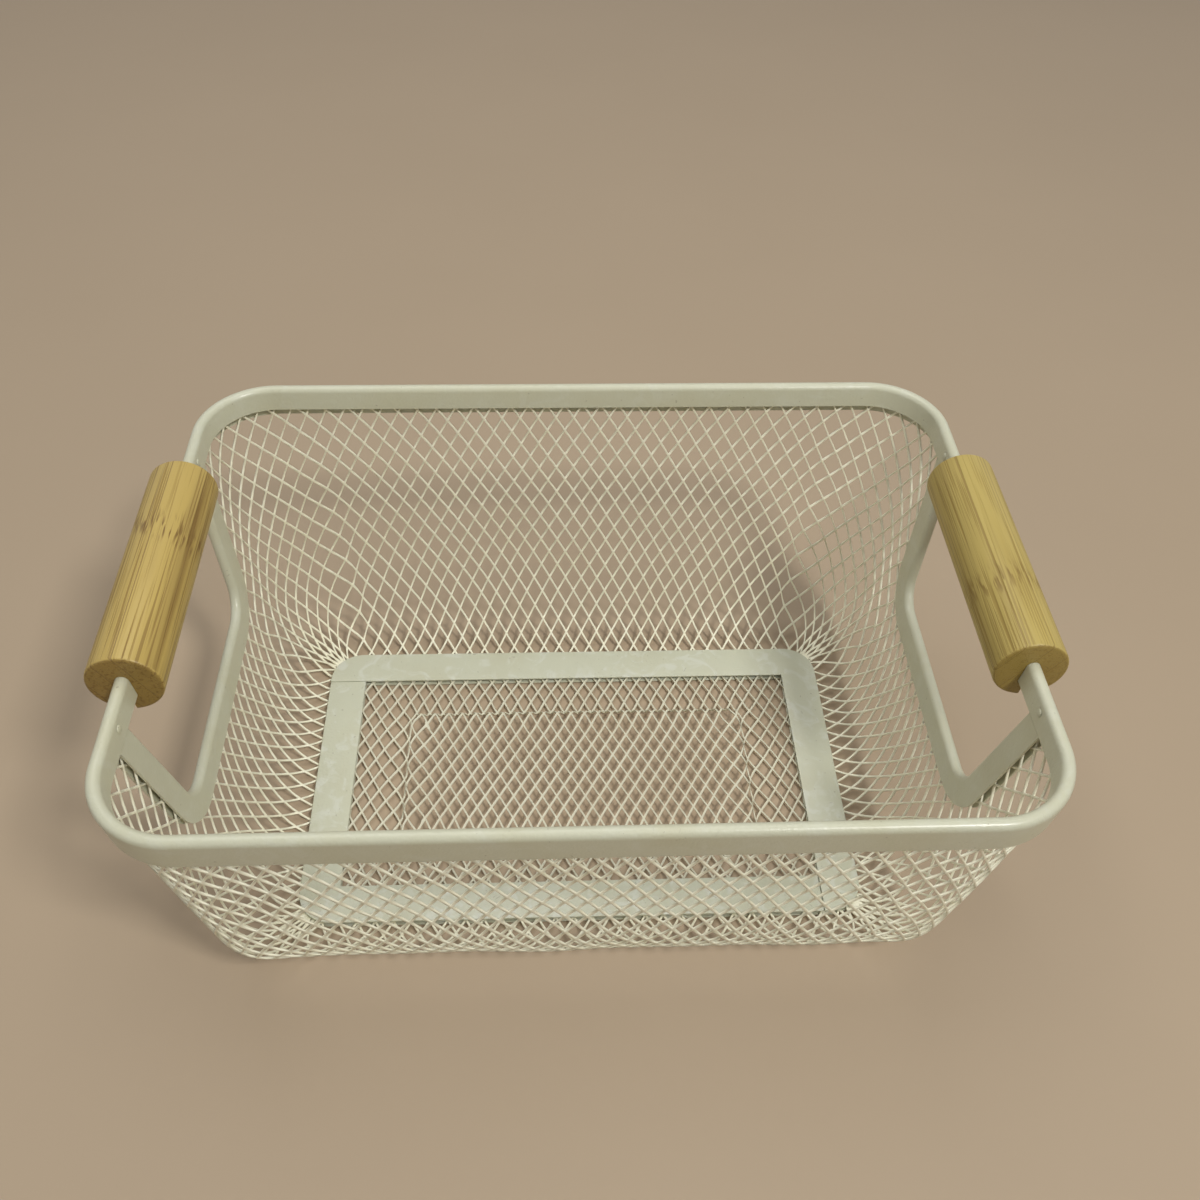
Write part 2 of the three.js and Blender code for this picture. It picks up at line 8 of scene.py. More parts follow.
import bpy
import numpy as np
from mathutils import Matrix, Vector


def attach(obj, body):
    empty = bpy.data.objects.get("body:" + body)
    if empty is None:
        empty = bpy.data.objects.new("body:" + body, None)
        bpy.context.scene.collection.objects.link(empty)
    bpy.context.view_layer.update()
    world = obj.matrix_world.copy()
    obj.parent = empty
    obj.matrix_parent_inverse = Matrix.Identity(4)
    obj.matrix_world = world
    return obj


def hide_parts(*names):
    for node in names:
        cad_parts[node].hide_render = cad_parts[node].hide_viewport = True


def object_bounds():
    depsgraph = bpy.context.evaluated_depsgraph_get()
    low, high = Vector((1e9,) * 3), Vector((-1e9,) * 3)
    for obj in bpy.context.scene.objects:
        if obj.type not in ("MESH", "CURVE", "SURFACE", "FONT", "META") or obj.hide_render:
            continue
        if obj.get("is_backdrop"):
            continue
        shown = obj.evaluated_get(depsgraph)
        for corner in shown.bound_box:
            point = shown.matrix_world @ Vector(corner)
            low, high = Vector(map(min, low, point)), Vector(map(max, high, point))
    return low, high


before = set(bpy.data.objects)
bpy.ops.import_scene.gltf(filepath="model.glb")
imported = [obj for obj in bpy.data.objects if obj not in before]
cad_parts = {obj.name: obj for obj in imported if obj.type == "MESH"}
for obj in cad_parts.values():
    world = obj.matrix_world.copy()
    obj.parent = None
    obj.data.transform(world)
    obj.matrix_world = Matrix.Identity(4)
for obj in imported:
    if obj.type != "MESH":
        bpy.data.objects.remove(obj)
cad_low, cad_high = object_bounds()
scene = bpy.context.scene
print("frame nodes:", len(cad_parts))

# %% [markdown]
# ## Sizes
# A maker measures first. These are the sizes of the real pieces, in millimetres: the rim's plan, the
# frame's plan and the stack of sheets at the bottom. Everything else follows from them, so one
# corrected number moves all the pieces that touch it.

# %% Sizes
MM = 0.001
RIM_LENGTH, RIM_WIDTH, RIM_CORNER = 286.0, 206.6, 26.0
RIM_TOP, RIM_THICKNESS = 121.0, 4.5
RIM_OUTER_LEG, RIM_INNER_LEG = 11.0, 7.0
STRIP_SHEET = 0.8
LEAN = np.radians(7.0)
FRAME_LENGTH, FRAME_WIDTH, FRAME_CORNER = 212.0, 130.6, 13.0
FRAME_STRIP, FRAME_SHEET = 15.1, 0.9
MESH_SHEET, SHEET_GAP = 1.1, 0.3
BEAD_HEIGHT = RIM_TOP - RIM_THICKNESS / 2
MESH_MIDDLE = FRAME_SHEET + SHEET_GAP + MESH_SHEET / 2
UPPER_FRAME_LOW = FRAME_SHEET + 2 * SHEET_GAP + MESH_SHEET
print("middle of the bottom mesh lies", MESH_MIDDLE, "mm above the table")

# %% [markdown]
# ## From arrays to a piece
# Blender only needs two things for a mesh: points, and faces that name them. A piece is therefore a
# numpy array of points plus lists of faces. The object itself stays at the origin, and its place is in
# the points, so that textures which read object coordinates keep still. Edges sharper than a given
# angle stay crisp and the rest is shaded smooth.


# %% Points and faces into a mesh
def make_piece(name, points, faces, material, node_names, crease=35.0):
    """Puts points in millimetres and lists of faces into a mesh object, and ties it to the frame."""
    mesh = bpy.data.meshes.new(name)
    mesh.from_pydata((np.reshape(points, (-1, 3)) * MM).tolist(), [], faces)
    mesh.polygons.foreach_set("use_smooth", np.ones(len(mesh.polygons), dtype=bool))
    mesh.set_sharp_from_angle(angle=np.radians(crease))
    mesh.materials.append(material)
    piece = bpy.data.objects.new(name, mesh)
    scene.collection.objects.link(piece)
    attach(piece, "root")
    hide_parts(*node_names)
    print(f"{name}: {len(mesh.vertices)} points, {len(mesh.polygons)} faces")
    return piece


def skin_faces(rings, count, closed):
    """Quads between neighbouring rings of count points. An open run gets a face over each end."""
    near = np.arange(rings if closed else rings - 1)[:, None]
    side = np.arange(count)[None, :]
    far, turn = (near + 1) % rings, (side + 1) % count
    corners = [near * count + side, near * count + turn, far * count + turn, far * count + side]
    quads = np.stack(np.broadcast_arrays(*corners), axis=-1).reshape(-1, 4).tolist()
    if closed:
        return quads
    first = list(range(count))[::-1]
    last = [(rings - 1) * count + point for point in range(count)]
    return quads + [first, last]


print("three open rings of four points need", len(skin_faces(3, 4, closed=False)), "faces")

# %% [markdown]
# ## Profiles and paths
# Most of the basket is bent strip, and bent strip is a profile carried along a path. At every stop on
# the path there is a small pair of axes: one across the strip and one up. A profile point is then
# origin + across * x + up * y, worked out for all stops and all profile points at once.


# %% A profile carried along a path
def carry(section, origins, across, up):
    """Point grid (stop, profile point, xyz): origin + across * section x + up * section y."""
    sideways = across[:, None, :] * section[None, :, :1]
    upwards = up[:, None, :] * section[None, :, 1:]
    return origins[:, None, :] + sideways + upwards


def arc(centre, radius, start, end, steps):
    """Points of a circular arc, from the start angle to the end angle."""
    angle = np.linspace(start, end, steps + 1)
    return np.asarray(centre) + radius * np.stack([np.cos(angle), np.sin(angle)], axis=-1)


def rounded_rectangle(length, width, radius, steps):
    """Clockwise outline of a rectangle with round corners, and its outward directions."""
    points, outward = [], []
    for corner in range(4):
        start = np.pi / 2 * (1 - corner)
        angle = np.linspace(start, start - np.pi / 2, steps + 1)
        facing = np.stack([np.cos(angle), np.sin(angle)], axis=-1)
        middle = start - np.pi / 4
        centre = np.sign([np.cos(middle), np.sin(middle)]) * [length / 2 - radius, width / 2 - radius]
        points.append(centre + radius * facing)
        outward.append(facing)
    return np.concatenate(points), np.concatenate(outward)


def folded_section(thickness, outer_leg, inner_leg, sheet, steps):
    """A strip folded back on itself: a half circle on top, then two legs of their own lengths."""
    outside = arc((0, 0), thickness / 2, 0, np.pi, steps)
    inside = arc((0, 0), thickness / 2 - sheet, np.pi, 0, steps)
    x_out, x_in = thickness / 2, thickness / 2 - sheet
    return np.concatenate([
        [[x_out, -outer_leg]], outside, [[-x_out, -inner_leg], [-x_in, -inner_leg]],
        inside, [[x_in, -outer_leg]],
    ])


print("a round-cornered square has", len(rounded_rectangle(2.0, 2.0, 0.5, steps=4)[0]), "outline points")

# %% [markdown]
# ## Building shader networks
# A material is a small network, and typing every link by hand hides the idea. One helper adds a node
# and fills its inputs: a socket is linked, anything else is set as a value.


# %% Nodes in one line
def add_node(tree, kind, inputs=None, **settings):
    """Adds a node. An input that is given a socket is linked to it; any other value is set."""
    made = tree.nodes.new(kind)
    for key, value in settings.items():
        setattr(made, key, value)
    for key, value in (inputs or {}).items():
        if isinstance(value, bpy.types.NodeSocket):
            tree.links.new(value, made.inputs[key])
        else:
            made.inputs[key].default_value = value
    return made


def maths(tree, operation, first, second=0.5):
    """One Math node, and its result."""
    return add_node(tree, "ShaderNodeMath", {0: first, 1: second}, operation=operation).outputs[0]


def ramp(tree, value, low, high, to_low=0.0, to_high=1.0):
    """A smooth step from to_low to to_high while value goes from low to high."""
    inputs = {"Value": value, "From Min": low, "From Max": high, "To Min": to_low, "To Max": to_high}
    return add_node(tree, "ShaderNodeMapRange", inputs, interpolation_type="SMOOTHSTEP").outputs["Result"]


def blend(tree, factor, first, second):
    """Mixes two colours: first where the factor is 0, second where it is 1."""
    return add_node(tree, "ShaderNodeMix", {0: factor, 6: first, 7: second}, data_type="RGBA").outputs[2]


def new_group(name, inputs, outputs):
    """A shader node group with named sockets: (name, socket type, default)."""
    tree = bpy.data.node_groups.new(name, "ShaderNodeTree")
    for label, kind, default in inputs:
        socket = tree.interface.new_socket(label, in_out="INPUT", socket_type=kind)
        socket.default_value = default
    for label, kind in outputs:
        tree.interface.new_socket(label, in_out="OUTPUT", socket_type=kind)
    return tree, tree.nodes.new("NodeGroupInput").outputs, tree.nodes.new("NodeGroupOutput").inputs


def new_material(name):
    """An empty material, its network and its Principled shader."""
    material = bpy.data.materials.new(name)
    material.use_nodes = True
    tree = material.node_tree
    return material, tree, tree.nodes["Principled BSDF"]


print("node kinds to choose from:", sum(kind.startswith("ShaderNode") for kind in dir(bpy.types)))

# %% [markdown]
# ## The powder coat
# Every steel piece wears the same cream powder coat. The strip and the frame show its own colour; the
# wall mesh is painted much brighter, as painted light on its strand edges, and the floor mesh is painted
# between the two, that light held back as painted shade deep inside the basket. Powder melts into a skin
# that is nearly smooth: it has a faint orange peel, patches that are a touch warmer, pale rubs, a few
# small scrapes and some specks of dust. All this could be painted, but noise that fills space needs no
# image and runs on round every edge. The mesh, the strip and the frame need it at their own strength,
# so it is one node group with named inputs.

# %% Coat texture as a node group
COAT, coat_in, coat_out = new_group(
    "coat_texture",
    [("Colour", "NodeSocketColor", (0.7, 0.7, 0.5, 1)), ("Aged", "NodeSocketColor", (0.6, 0.55, 0.4, 1)),
     ("Ageing", "NodeSocketFloat", 0.5), ("Scuffs", "NodeSocketFloat", 0.2),
     ("Specks", "NodeSocketFloat", 0.5), ("Gloss", "NodeSocketFloat", 0.6)],
    [("Colour", "NodeSocketColor"), ("Roughness", "NodeSocketFloat"), ("Height", "NodeSocketFloat")],
)
coat_place = add_node(COAT, "ShaderNodeTexCoord").outputs["Object"]
RUB_COLOUR, SCRAPE_COLOUR, SPECK_COLOUR = (0.70, 0.72, 0.64, 1), (0.33, 0.31, 0.23, 1), (0.2, 0.16, 0.1, 1)


def coat_noise(scale, detail, distortion=0.0):
    """Noise that fills the space round the piece; scale counts its waves to the metre."""
    inputs = {"Vector": coat_place, "Scale": scale, "Detail": detail, "Distortion": distortion}
    return add_node(COAT, "ShaderNodeTexNoise", inputs).outputs["Fac"]


def coat_layer(under, noise, low, high, strength, over):
    """One colour over another, by strength * a smooth step of the noise from low to high."""
    share = maths(COAT, "MULTIPLY", ramp(COAT, noise, low, high), strength)
    return blend(COAT, share, under, over)


patches = coat_noise(38.0, detail=3.0)
rubs = coat_noise(95.0, detail=5.0, distortion=1.8)
scrapes = coat_noise(210.0, detail=2.0, distortion=3.0)
dust = coat_noise(620.0, detail=1.0)
peel = coat_noise(900.0, detail=1.5)
coat_colour = coat_layer(coat_in["Colour"], patches, 0.42, 0.72, coat_in["Ageing"], coat_in["Aged"])
coat_colour = coat_layer(coat_colour, rubs, 0.50, 0.68, coat_in["Scuffs"], RUB_COLOUR)
coat_colour = coat_layer(coat_colour, scrapes, 0.70, 0.76, coat_in["Scuffs"], SCRAPE_COLOUR)
coat_colour = coat_layer(coat_colour, dust, 0.75, 0.80, coat_in["Specks"], SPECK_COLOUR)
rough = maths(COAT, "SUBTRACT", 1.0, coat_in["Gloss"])
rough = maths(COAT, "ADD", rough, ramp(COAT, patches, 0.3, 0.8, to_low=-0.05, to_high=0.08))
for result, socket in ((coat_colour, "Colour"), (rough, "Roughness"), (peel, "Height")):
    COAT.links.new(result, coat_out[socket])
print("coat_texture has", len(COAT.nodes), "nodes")


# %% Coats for the strip, the frame and the mesh
def textured(name, texture, values, depth):
    """A material whose colour, roughness and bumps come from a texture group with these values.
    Gives the material and its shader; depth is the height of the bumps in millimetres."""
    material, tree, shader = new_material(name)
    group = add_node(tree, "ShaderNodeGroup", values, node_tree=texture).outputs
    bump = add_node(tree, "ShaderNodeBump", {"Height": group["Height"], "Distance": depth * MM})
    tree.links.new(group["Colour"], shader.inputs["Base Color"])
    tree.links.new(group["Roughness"], shader.inputs["Roughness"])
    tree.links.new(bump.outputs["Normal"], shader.inputs["Normal"])
    return material, shader


SKIN_WEIGHT, SKIN_ROUGHNESS = 0.15, 0.2


def coated(name, colour, warm, ageing, scuffs, dust_share, gloss, peel_depth):
    """A cream powder coat over steel: the coat_texture group at its own strength, under a thin clear skin."""
    values = {"Colour": colour, "Aged": warm, "Ageing": ageing, "Scuffs": scuffs,
              "Specks": dust_share, "Gloss": gloss}
    material, shader = textured(name, COAT, values, peel_depth)
    shader.inputs["Coat Weight"].default_value = SKIN_WEIGHT
    shader.inputs["Coat Roughness"].default_value = SKIN_ROUGHNESS
    return material


STRIP_COAT = coated("cream_strip", colour=(0.60, 0.60, 0.455, 1), warm=(0.56, 0.54, 0.37, 1),
                    ageing=0.5, scuffs=0.15, dust_share=0.4, gloss=0.62, peel_depth=0.10)
FRAME_COAT = coated("cream_frame", colour=(0.60, 0.61, 0.475, 1), warm=(0.56, 0.55, 0.40, 1),
                    ageing=0.6, scuffs=0.55, dust_share=0.5, gloss=0.56, peel_depth=0.12)
# The wall mesh wears the strip's coat, but its colour is painted much brighter: painted light for the light
# that its strand edges catch.
WALL_COAT_PAINTED_LIGHT = coated("cream_wall_mesh_painted_light", colour=(0.94, 0.915, 0.725, 1), warm=(0.86, 0.82, 0.61, 1),
                   ageing=0.6, scuffs=0.0, dust_share=0.1, gloss=0.55, peel_depth=0.05)
# The floor mesh wears the same coat, painted brighter than the strip as painted light on its strands, but
# darker than the wall as painted shade deep inside the basket.
PANEL_COAT_PAINTED_LIGHT_AND_SHADE = coated("cream_floor_mesh_painted_light_and_shade", colour=(0.72, 0.70, 0.55, 1), warm=(0.64, 0.60, 0.45, 1),
                    ageing=0.6, scuffs=0.0, dust_share=0.2, gloss=0.55, peel_depth=0.05)
print("coats:", [coat.name for coat in (STRIP_COAT, FRAME_COAT, WALL_COAT_PAINTED_LIGHT, PANEL_COAT_PAINTED_LIGHT_AND_SHADE)])

# %% [markdown]
# ## The rim
# The rim is one strip folded over the mesh's cut edge. It could be a swept curve with a bevel, but a
# profile on a path gives exact control of its two unequal legs. The path is the rim's plan, and the
# profile leans seven degrees, as the walls do.

# %% The rim
rim_section = folded_section(RIM_THICKNESS, RIM_OUTER_LEG, RIM_INNER_LEG, STRIP_SHEET, steps=14)
turn = np.array([[np.cos(LEAN), -np.sin(LEAN)], [np.sin(LEAN), np.cos(LEAN)]])
rim_plan, rim_facing = rounded_rectangle(RIM_LENGTH, RIM_WIDTH, RIM_CORNER, steps=20)
rim_stops = np.column_stack([rim_plan, np.full(len(rim_plan), BEAD_HEIGHT)])
rim_across = np.column_stack([rim_facing, np.zeros(len(rim_plan))])
rim_up = np.tile([0.0, 0.0, 1.0], (len(rim_plan), 1))
rim_grid = carry(rim_section @ turn, rim_stops, rim_across, rim_up)
rim_faces = skin_faces(len(rim_grid), len(rim_section), closed=True)
make_piece("rim_strip", rim_grid, rim_faces, STRIP_COAT, ["rim_band"])

# %% [markdown]
# ## The ends
# Both end walls are flat planes that lean outwards, so what belongs to an end is drawn flat first:
# X along the bar, Y up the slope, Z outwards. Two objects could be turned into place, but then their
# textures would turn too, so one small function stands the drawing's points up at the right end, and a
# half turn about the vertical axis makes the left end of it.


# %% Standing a drawing up at an end
def stand_at_end(points, side):
    """Moves end-wall points (along, up the slope, outwards) to the right end, or half turned to the left."""
    along, up, out = np.moveaxis(np.asarray(points, dtype=float), -1, 0)
    x = RIM_LENGTH / 2 + up * np.sin(LEAN) + out * np.cos(LEAN)
    z = BEAD_HEIGHT + up * np.cos(LEAN) - out * np.sin(LEAN)
    sign = 1 if side == "right" else -1
    return np.stack([sign * x, sign * along, z], axis=-1)


CUTOUT_TOP, CUTOUT_BOTTOM, CUTOUT_DEPTH, CUTOUT_BEND = 120.0, 96.0, 65.0, 13.0
BAND_THICKNESS, BAND_LEG = 4.2, 8.7
FLARE = (CUTOUT_TOP - CUTOUT_BOTTOM) / 2 / CUTOUT_DEPTH
SLOPE = np.arctan(FLARE)


def cutout_path(steps):
    """The fold line of a cut-out: down one side, round a bend, across, round a bend and up again.
    Gives the stops and the directions towards the opening."""
    set_back = CUTOUT_BEND * np.tan((np.pi / 2 - SLOPE) / 2)
    centre_x, centre_y = CUTOUT_BOTTOM / 2 - set_back, CUTOUT_BEND - CUTOUT_DEPTH
    right = np.linspace(-SLOPE, -np.pi / 2, steps + 1)
    left = np.linspace(-np.pi / 2, SLOPE - np.pi, steps + 1)
    angle = np.concatenate([[-SLOPE], right, left, [SLOPE - np.pi]])
    facing = np.stack([np.cos(angle), np.sin(angle)], axis=-1)
    side = np.repeat([1.0, -1.0], steps + 2)
    stops = np.stack([side * centre_x, np.full(len(side), centre_y)], axis=-1) + CUTOUT_BEND * facing
    stops[0], stops[-1] = (CUTOUT_TOP / 2, 0), (-CUTOUT_TOP / 2, 0)
    return stops, -facing


print("the sides of a cut-out slope by", np.degrees(SLOPE).round(1), "degrees")

# %% The bands along the cut-outs
band_section = folded_section(BAND_THICKNESS, BAND_LEG, BAND_LEG, STRIP_SHEET, steps=12)
band_stops, band_inward = cutout_path(steps=14)
flat = np.zeros((len(band_stops), 1))
band_across = np.tile([0.0, 0.0, 1.0], (len(band_stops), 1))
band_grid = carry(band_section, np.hstack([band_stops, flat]), band_across, np.hstack([band_inward, flat]))
END_GAP, OUTER_SIDE = 0.3, 0.9
leg_end = -END_GAP - np.where(band_section[:, 0] > OUTER_SIDE, RIM_OUTER_LEG, RIM_INNER_LEG)
for ring, sign in ((0, 1), (-1, -1)):
    travel = leg_end - band_grid[ring, :, 1]
    band_grid[ring, :, 0] += sign * FLARE * travel
    band_grid[ring, :, 1] = leg_end
band_faces = skin_faces(len(band_grid), len(band_section), closed=False)
for side in ("left", "right"):
    name = f"{side}_cutout_band"
    make_piece(f"{side}_cutout_strip", stand_at_end(band_grid, side), band_faces, STRIP_COAT, [name])

# %% [markdown]
# ## Weld dots
# The ends of each band are spot welded to the rim. A flattened sphere would do, but half of it would
# be hidden, so a dot is only a low dome: rings of a circle that shrink as they rise.

# %% Weld dots
WELD_SPACING, WELD_DROP, WELD_RADIUS, WELD_HEIGHT, WELD_GAP = 124.0, 2.0, 1.4, 0.5, 0.1
dome_angle = np.linspace(0, 0.42 * np.pi, 5)
dome_radius, dome_rise = WELD_RADIUS * np.cos(dome_angle), WELD_HEIGHT * np.sin(dome_angle)
round_section = arc((0, 0), 1.0, 0, 2 * np.pi, steps=18)[:-1]
dome = np.concatenate([
    dome_radius[:, None, None] * np.stack([round_section[:, 0], -round_section[:, 1]], axis=-1)[None],
    -np.repeat(dome_rise[:, None, None], len(round_section), axis=1),
], axis=-1)
dome_faces = skin_faces(len(dome), len(round_section), closed=False)
for side in ("left", "right"):
    for place_name, along in (("front", -1), ("back", 1)):
        sign = along if side == "right" else -along
        spot = np.array([sign * WELD_SPACING / 2, -WELD_DROP, -RIM_THICKNESS / 2 - WELD_GAP])
        name = f"{side}_{place_name}_weld"
        make_piece(f"{name}_dot", stand_at_end(dome + spot, side), dome_faces, STRIP_COAT, [name])

# %% [markdown]
# ## Flat shapes with eased edges
# The frames are cut from sheet and the grips are turned from a rod, yet both are one outline pushed
# along an axis with its end edges eased. A Bevel modifier would also ease the edges along the axis, so
# outlines are stacked like sheets of paper instead, and near each end they shrink by a quarter round. A
# frame's corners move along the bisector of their two sides, so a notch eases as well as a round
# corner. A grip only gets a smaller circle, so that its slot keeps its width.


# %% An outline pushed along an axis
def inset(outline, distance):
    """Moves the corners of an anticlockwise outline inwards along their bisectors."""
    side = np.roll(outline, -1, axis=0) - outline
    side = side / np.linalg.norm(side, axis=1, keepdims=True)
    inward = np.stack([-side[:, 1], side[:, 0]], axis=-1)
    before = np.roll(inward, 1, axis=0)
    bisector = (inward + before) / (1 + np.sum(inward * before, axis=1, keepdims=True))
    return outline + distance * bisector


def eased_stops(low, high, ease, steps):
    """Stops of a quarter-round edge at both ends of an axis: how far the outline shrinks, and the height."""
    angle = np.linspace(0, np.pi / 2, steps + 1)
    shrink, rise = ease * (1 - np.sin(angle)), ease * (1 - np.cos(angle))
    return np.concatenate([shrink, shrink[::-1]]), np.concatenate([low + rise, high - rise[::-1]])


def stack_outlines(outlines, heights):
    """Point grid (stop, outline point, xyz) of one outline at each height."""
    return np.stack([np.column_stack([line, np.full(len(line), z)]) for line, z in zip(outlines, heights)])


square = np.array([[0.0, 0.0], [10.0, 0.0], [10.0, 10.0], [0.0, 10.0]])
print("a square of 10 mm, moved in by 1 mm:", inset(square, 1.0).tolist())

# %% [markdown]
# ## The frame stampings
# Two flat L shapes butt together round the floor of the basket, once inside and once below. The back
# and right strips are one piece with three round corners; the front and left strips are the other.
# Curves could be filled and extruded, but an outline kept as an array has the exact seam and corners.

# %% The frames
SEAM, FRAME_EASE = 0.3, 0.3
half_x, half_y = FRAME_LENGTH / 2, FRAME_WIDTH / 2
in_x, in_y = half_x - FRAME_STRIP, half_y - FRAME_STRIP


def frame_corner(right, back, start):
    """A quarter-round outer corner of the frame; right and back are signs that say which one."""
    centre = (right * (half_x - FRAME_CORNER), back * (half_y - FRAME_CORNER))
    return arc(centre, FRAME_CORNER, start, start + np.pi / 2, steps=12)


back_right = np.concatenate([
    [[-half_x, in_y], [in_x, in_y], [in_x, -half_y]],
    frame_corner(1, -1, -np.pi / 2), frame_corner(1, 1, 0), frame_corner(-1, 1, np.pi / 2),
])
front_left = np.concatenate([
    frame_corner(-1, -1, np.pi), [[in_x - SEAM, -half_y], [in_x - SEAM, -in_y]],
    [[-in_x, -in_y], [-in_x, in_y - SEAM], [-half_x, in_y - SEAM]],
])
for level, low in (("lower", 0.0), ("upper", UPPER_FRAME_LOW)):
    for corner, outline in (("back_right", back_right), ("front_left", front_left)):
        shrink, height = eased_stops(low, low + FRAME_SHEET, FRAME_EASE, steps=3)
        grid = stack_outlines([inset(outline, step) for step in shrink], height)
        faces = skin_faces(len(grid), len(outline), closed=False)
        name = f"{level}_frame_{corner}"
        make_piece(f"{name}_plate", grid, faces, FRAME_COAT, [name])

# %% [markdown]
# ## Expanded metal
# A stretched sheet is a lattice of diamonds. Three thousand of them could be instances, but the real
# sheet is one piece of metal, so it is built as one closed surface. Each opening is a diamond shrunk
# about its middle, and the metal is what is left: small quads where strands cross and a few quads
# between crossings, which let a strand bend with the surface. Slitting also twists every strand a
# little: the left corner of an opening is pushed in and the right corner is pushed out.


# %% Lattice of strands on any surface
def lattice_faces(openings, keep_right, keep_left, count, bends):
    """Faces of all crossings and strands that are kept. openings(row, column) gives the point numbers round
    an opening, from its left corner by the lowest one, with so many bends to a side; a crossing without one
    of its strands gets a small face there, so the metal stays closed."""
    rows, columns = keep_right.shape
    row, column = np.meshgrid(np.arange(rows), np.arange(columns), indexing="ij")
    shift = row % 2
    right, left = openings(row, column), openings(row, column - 1)
    above, below = openings(row + 1, column - 1 + shift), openings(row - 1, column - 1 + shift)
    LEFT, LOW, RIGHT, HIGH = (corner * bends for corner in range(4))
    under = np.maximum(row - 1, 0)
    from_right = keep_left[under, (column + shift) % columns] & (row > 0)
    from_left = keep_right[under, (column - 1 + shift) % columns] & (row > 0)
    crossing = keep_right | keep_left | from_right | from_left

    def both_sides(*corners, where):
        outer = np.stack(corners, axis=-1)[where]
        return [outer, (outer + count)[:, ::-1]]

    def wall(start, end, where):
        a, b = start[where], end[where]
        return [np.stack([b, a, a + count, b + count], axis=-1)]

    parts = both_sides(left[RIGHT], below[HIGH], right[LEFT], above[LOW], where=crossing)
    for bend in range(bends):
        a, b = right[-bend % (4 * bends)], right[-bend - 1]
        c, d = above[LOW + bend + 1], above[LOW + bend]
        parts += both_sides(a, b, c, d, where=keep_right) + wall(a, b, keep_right) + wall(c, d, keep_right)
        a, b = above[LOW - bend], above[LOW - bend - 1]
        c, d = left[RIGHT + bend + 1], left[RIGHT + bend]
        parts += both_sides(a, b, c, d, where=keep_left) + wall(a, b, keep_left) + wall(c, d, keep_left)
    parts += wall(right[LEFT], above[LOW], crossing & ~keep_right)
    parts += wall(above[LOW], left[RIGHT], crossing & ~keep_left)
    parts += wall(left[RIGHT], below[HIGH], crossing & ~from_left)
    parts += wall(below[HIGH], right[LEFT], crossing & ~from_right)
    return np.concatenate(parts)


MOST_METAL, FULL_TWIST, SLOPE_STEP = 0.86, 3.0, 0.02


def expanded_metal(surface, columns, rows, strand, thickness, twist, bends, keep):
    """Points and faces of expanded metal on surface(u, v), a function of the column and the half row.
    An opening at (u, v) has corners at u -/+ size / 2 and v -/+ size, where size leaves the strand's width
    but at most the share MOST_METAL, and points at equal steps between them; every point is moved along the
    surface normal by its twist, which fades in openings less than FULL_TWIST to a side, and by half the
    thickness each way."""
    row, column = np.meshgrid(np.arange(-1, rows + 2), np.arange(columns), indexing="ij")
    u, v = column + 0.5 + 0.5 * (row % 2), row.astype(float)
    half_u = np.linalg.norm(surface(u + 0.5, v) - surface(u - 0.5, v), axis=-1) / 2
    half_v = np.linalg.norm(surface(u, v + 1) - surface(u, v - 1), axis=-1) / 2
    size = 1 - np.clip(strand / 2 * np.hypot(half_u, half_v) / (half_u * half_v), 0, MOST_METAL)
    corners = np.array([[-0.5, 0], [0, -1], [0.5, 0], [0, 1], [-0.5, 0]])
    across, up = (np.interp(np.arange(4 * bends) / bends, np.arange(5), side) for side in corners.T)
    corner_u, corner_v = u[..., None] + size[..., None] * across, v[..., None] + size[..., None] * up
    middle = surface(corner_u, corner_v)
    along = surface(corner_u + SLOPE_STEP, corner_v) - surface(corner_u - SLOPE_STEP, corner_v)
    rise = surface(corner_u, corner_v + SLOPE_STEP) - surface(corner_u, corner_v - SLOPE_STEP)
    normal = np.cross(along, rise)
    normal /= np.linalg.norm(normal, axis=-1, keepdims=True)
    lift = 2 * twist * across[:, None] * np.clip(half_u / FULL_TWIST, 0, 1)[..., None, None]
    outer, inner = middle + normal * (lift + thickness / 2), middle + normal * (lift - thickness / 2)
    count = middle[..., 0].size

    def openings(at_row, at_column):
        first = ((at_row + 1) * columns + at_column % columns) * 4 * bends
        return [first + point for point in range(4 * bends)]

    node_row, node_column = np.meshgrid(np.arange(rows + 1), np.arange(columns), indexing="ij")
    node_u = node_column + 0.5 * (node_row % 2)
    keep_right = keep(surface(node_u + 0.25, node_row + 0.5)) & (node_row < rows)
    keep_left = keep(surface(node_u - 0.25, node_row + 0.5)) & (node_row < rows)
    faces = lattice_faces(openings, keep_right, keep_left, count, bends)
    used, faces = np.unique(faces, return_inverse=True)
    points = np.concatenate([outer.reshape(-1, 3), inner.reshape(-1, 3)])[used]
    return points, faces.reshape(-1, 4).tolist()


# %% [markdown]
# ## The wall
# The wall is a sleeve of that lattice. Its columns stand a little wider near the rim's corners than in
# the middle of a side, and at the bottom they all have to meet the smaller frame, so they bunch up at
# its corners. From the middle of the back outwards the sheet also drops by one row, so the rows of the
# back wall arch. A column leaves the frame flat, bends, and runs up straight; at a corner it leans more
# and its straight is longer. Modifiers could pull a flat lattice into this shape, but tables are exact:
# worked out once for places all round the rim, they turn a length along a column into a point on it.

# %% The wall's surface
WALL_LAP, FOOT_SWEEP, BEND_SWEEP, WALL_STRAIGHT, TOP_DROP = 7.0, 17.0, 20.0, 70.0, 1.0
CORNER_LEAN, CORNER_STRAIGHT = np.radians(3.0), 18.0
COLUMN_STEPS, BEND_POINTS, PLACES, ROUND_STEPS = 160, 200, 480, 60
RISE = BEAD_HEIGHT - TOP_DROP * np.cos(LEAN) - MESH_MIDDLE


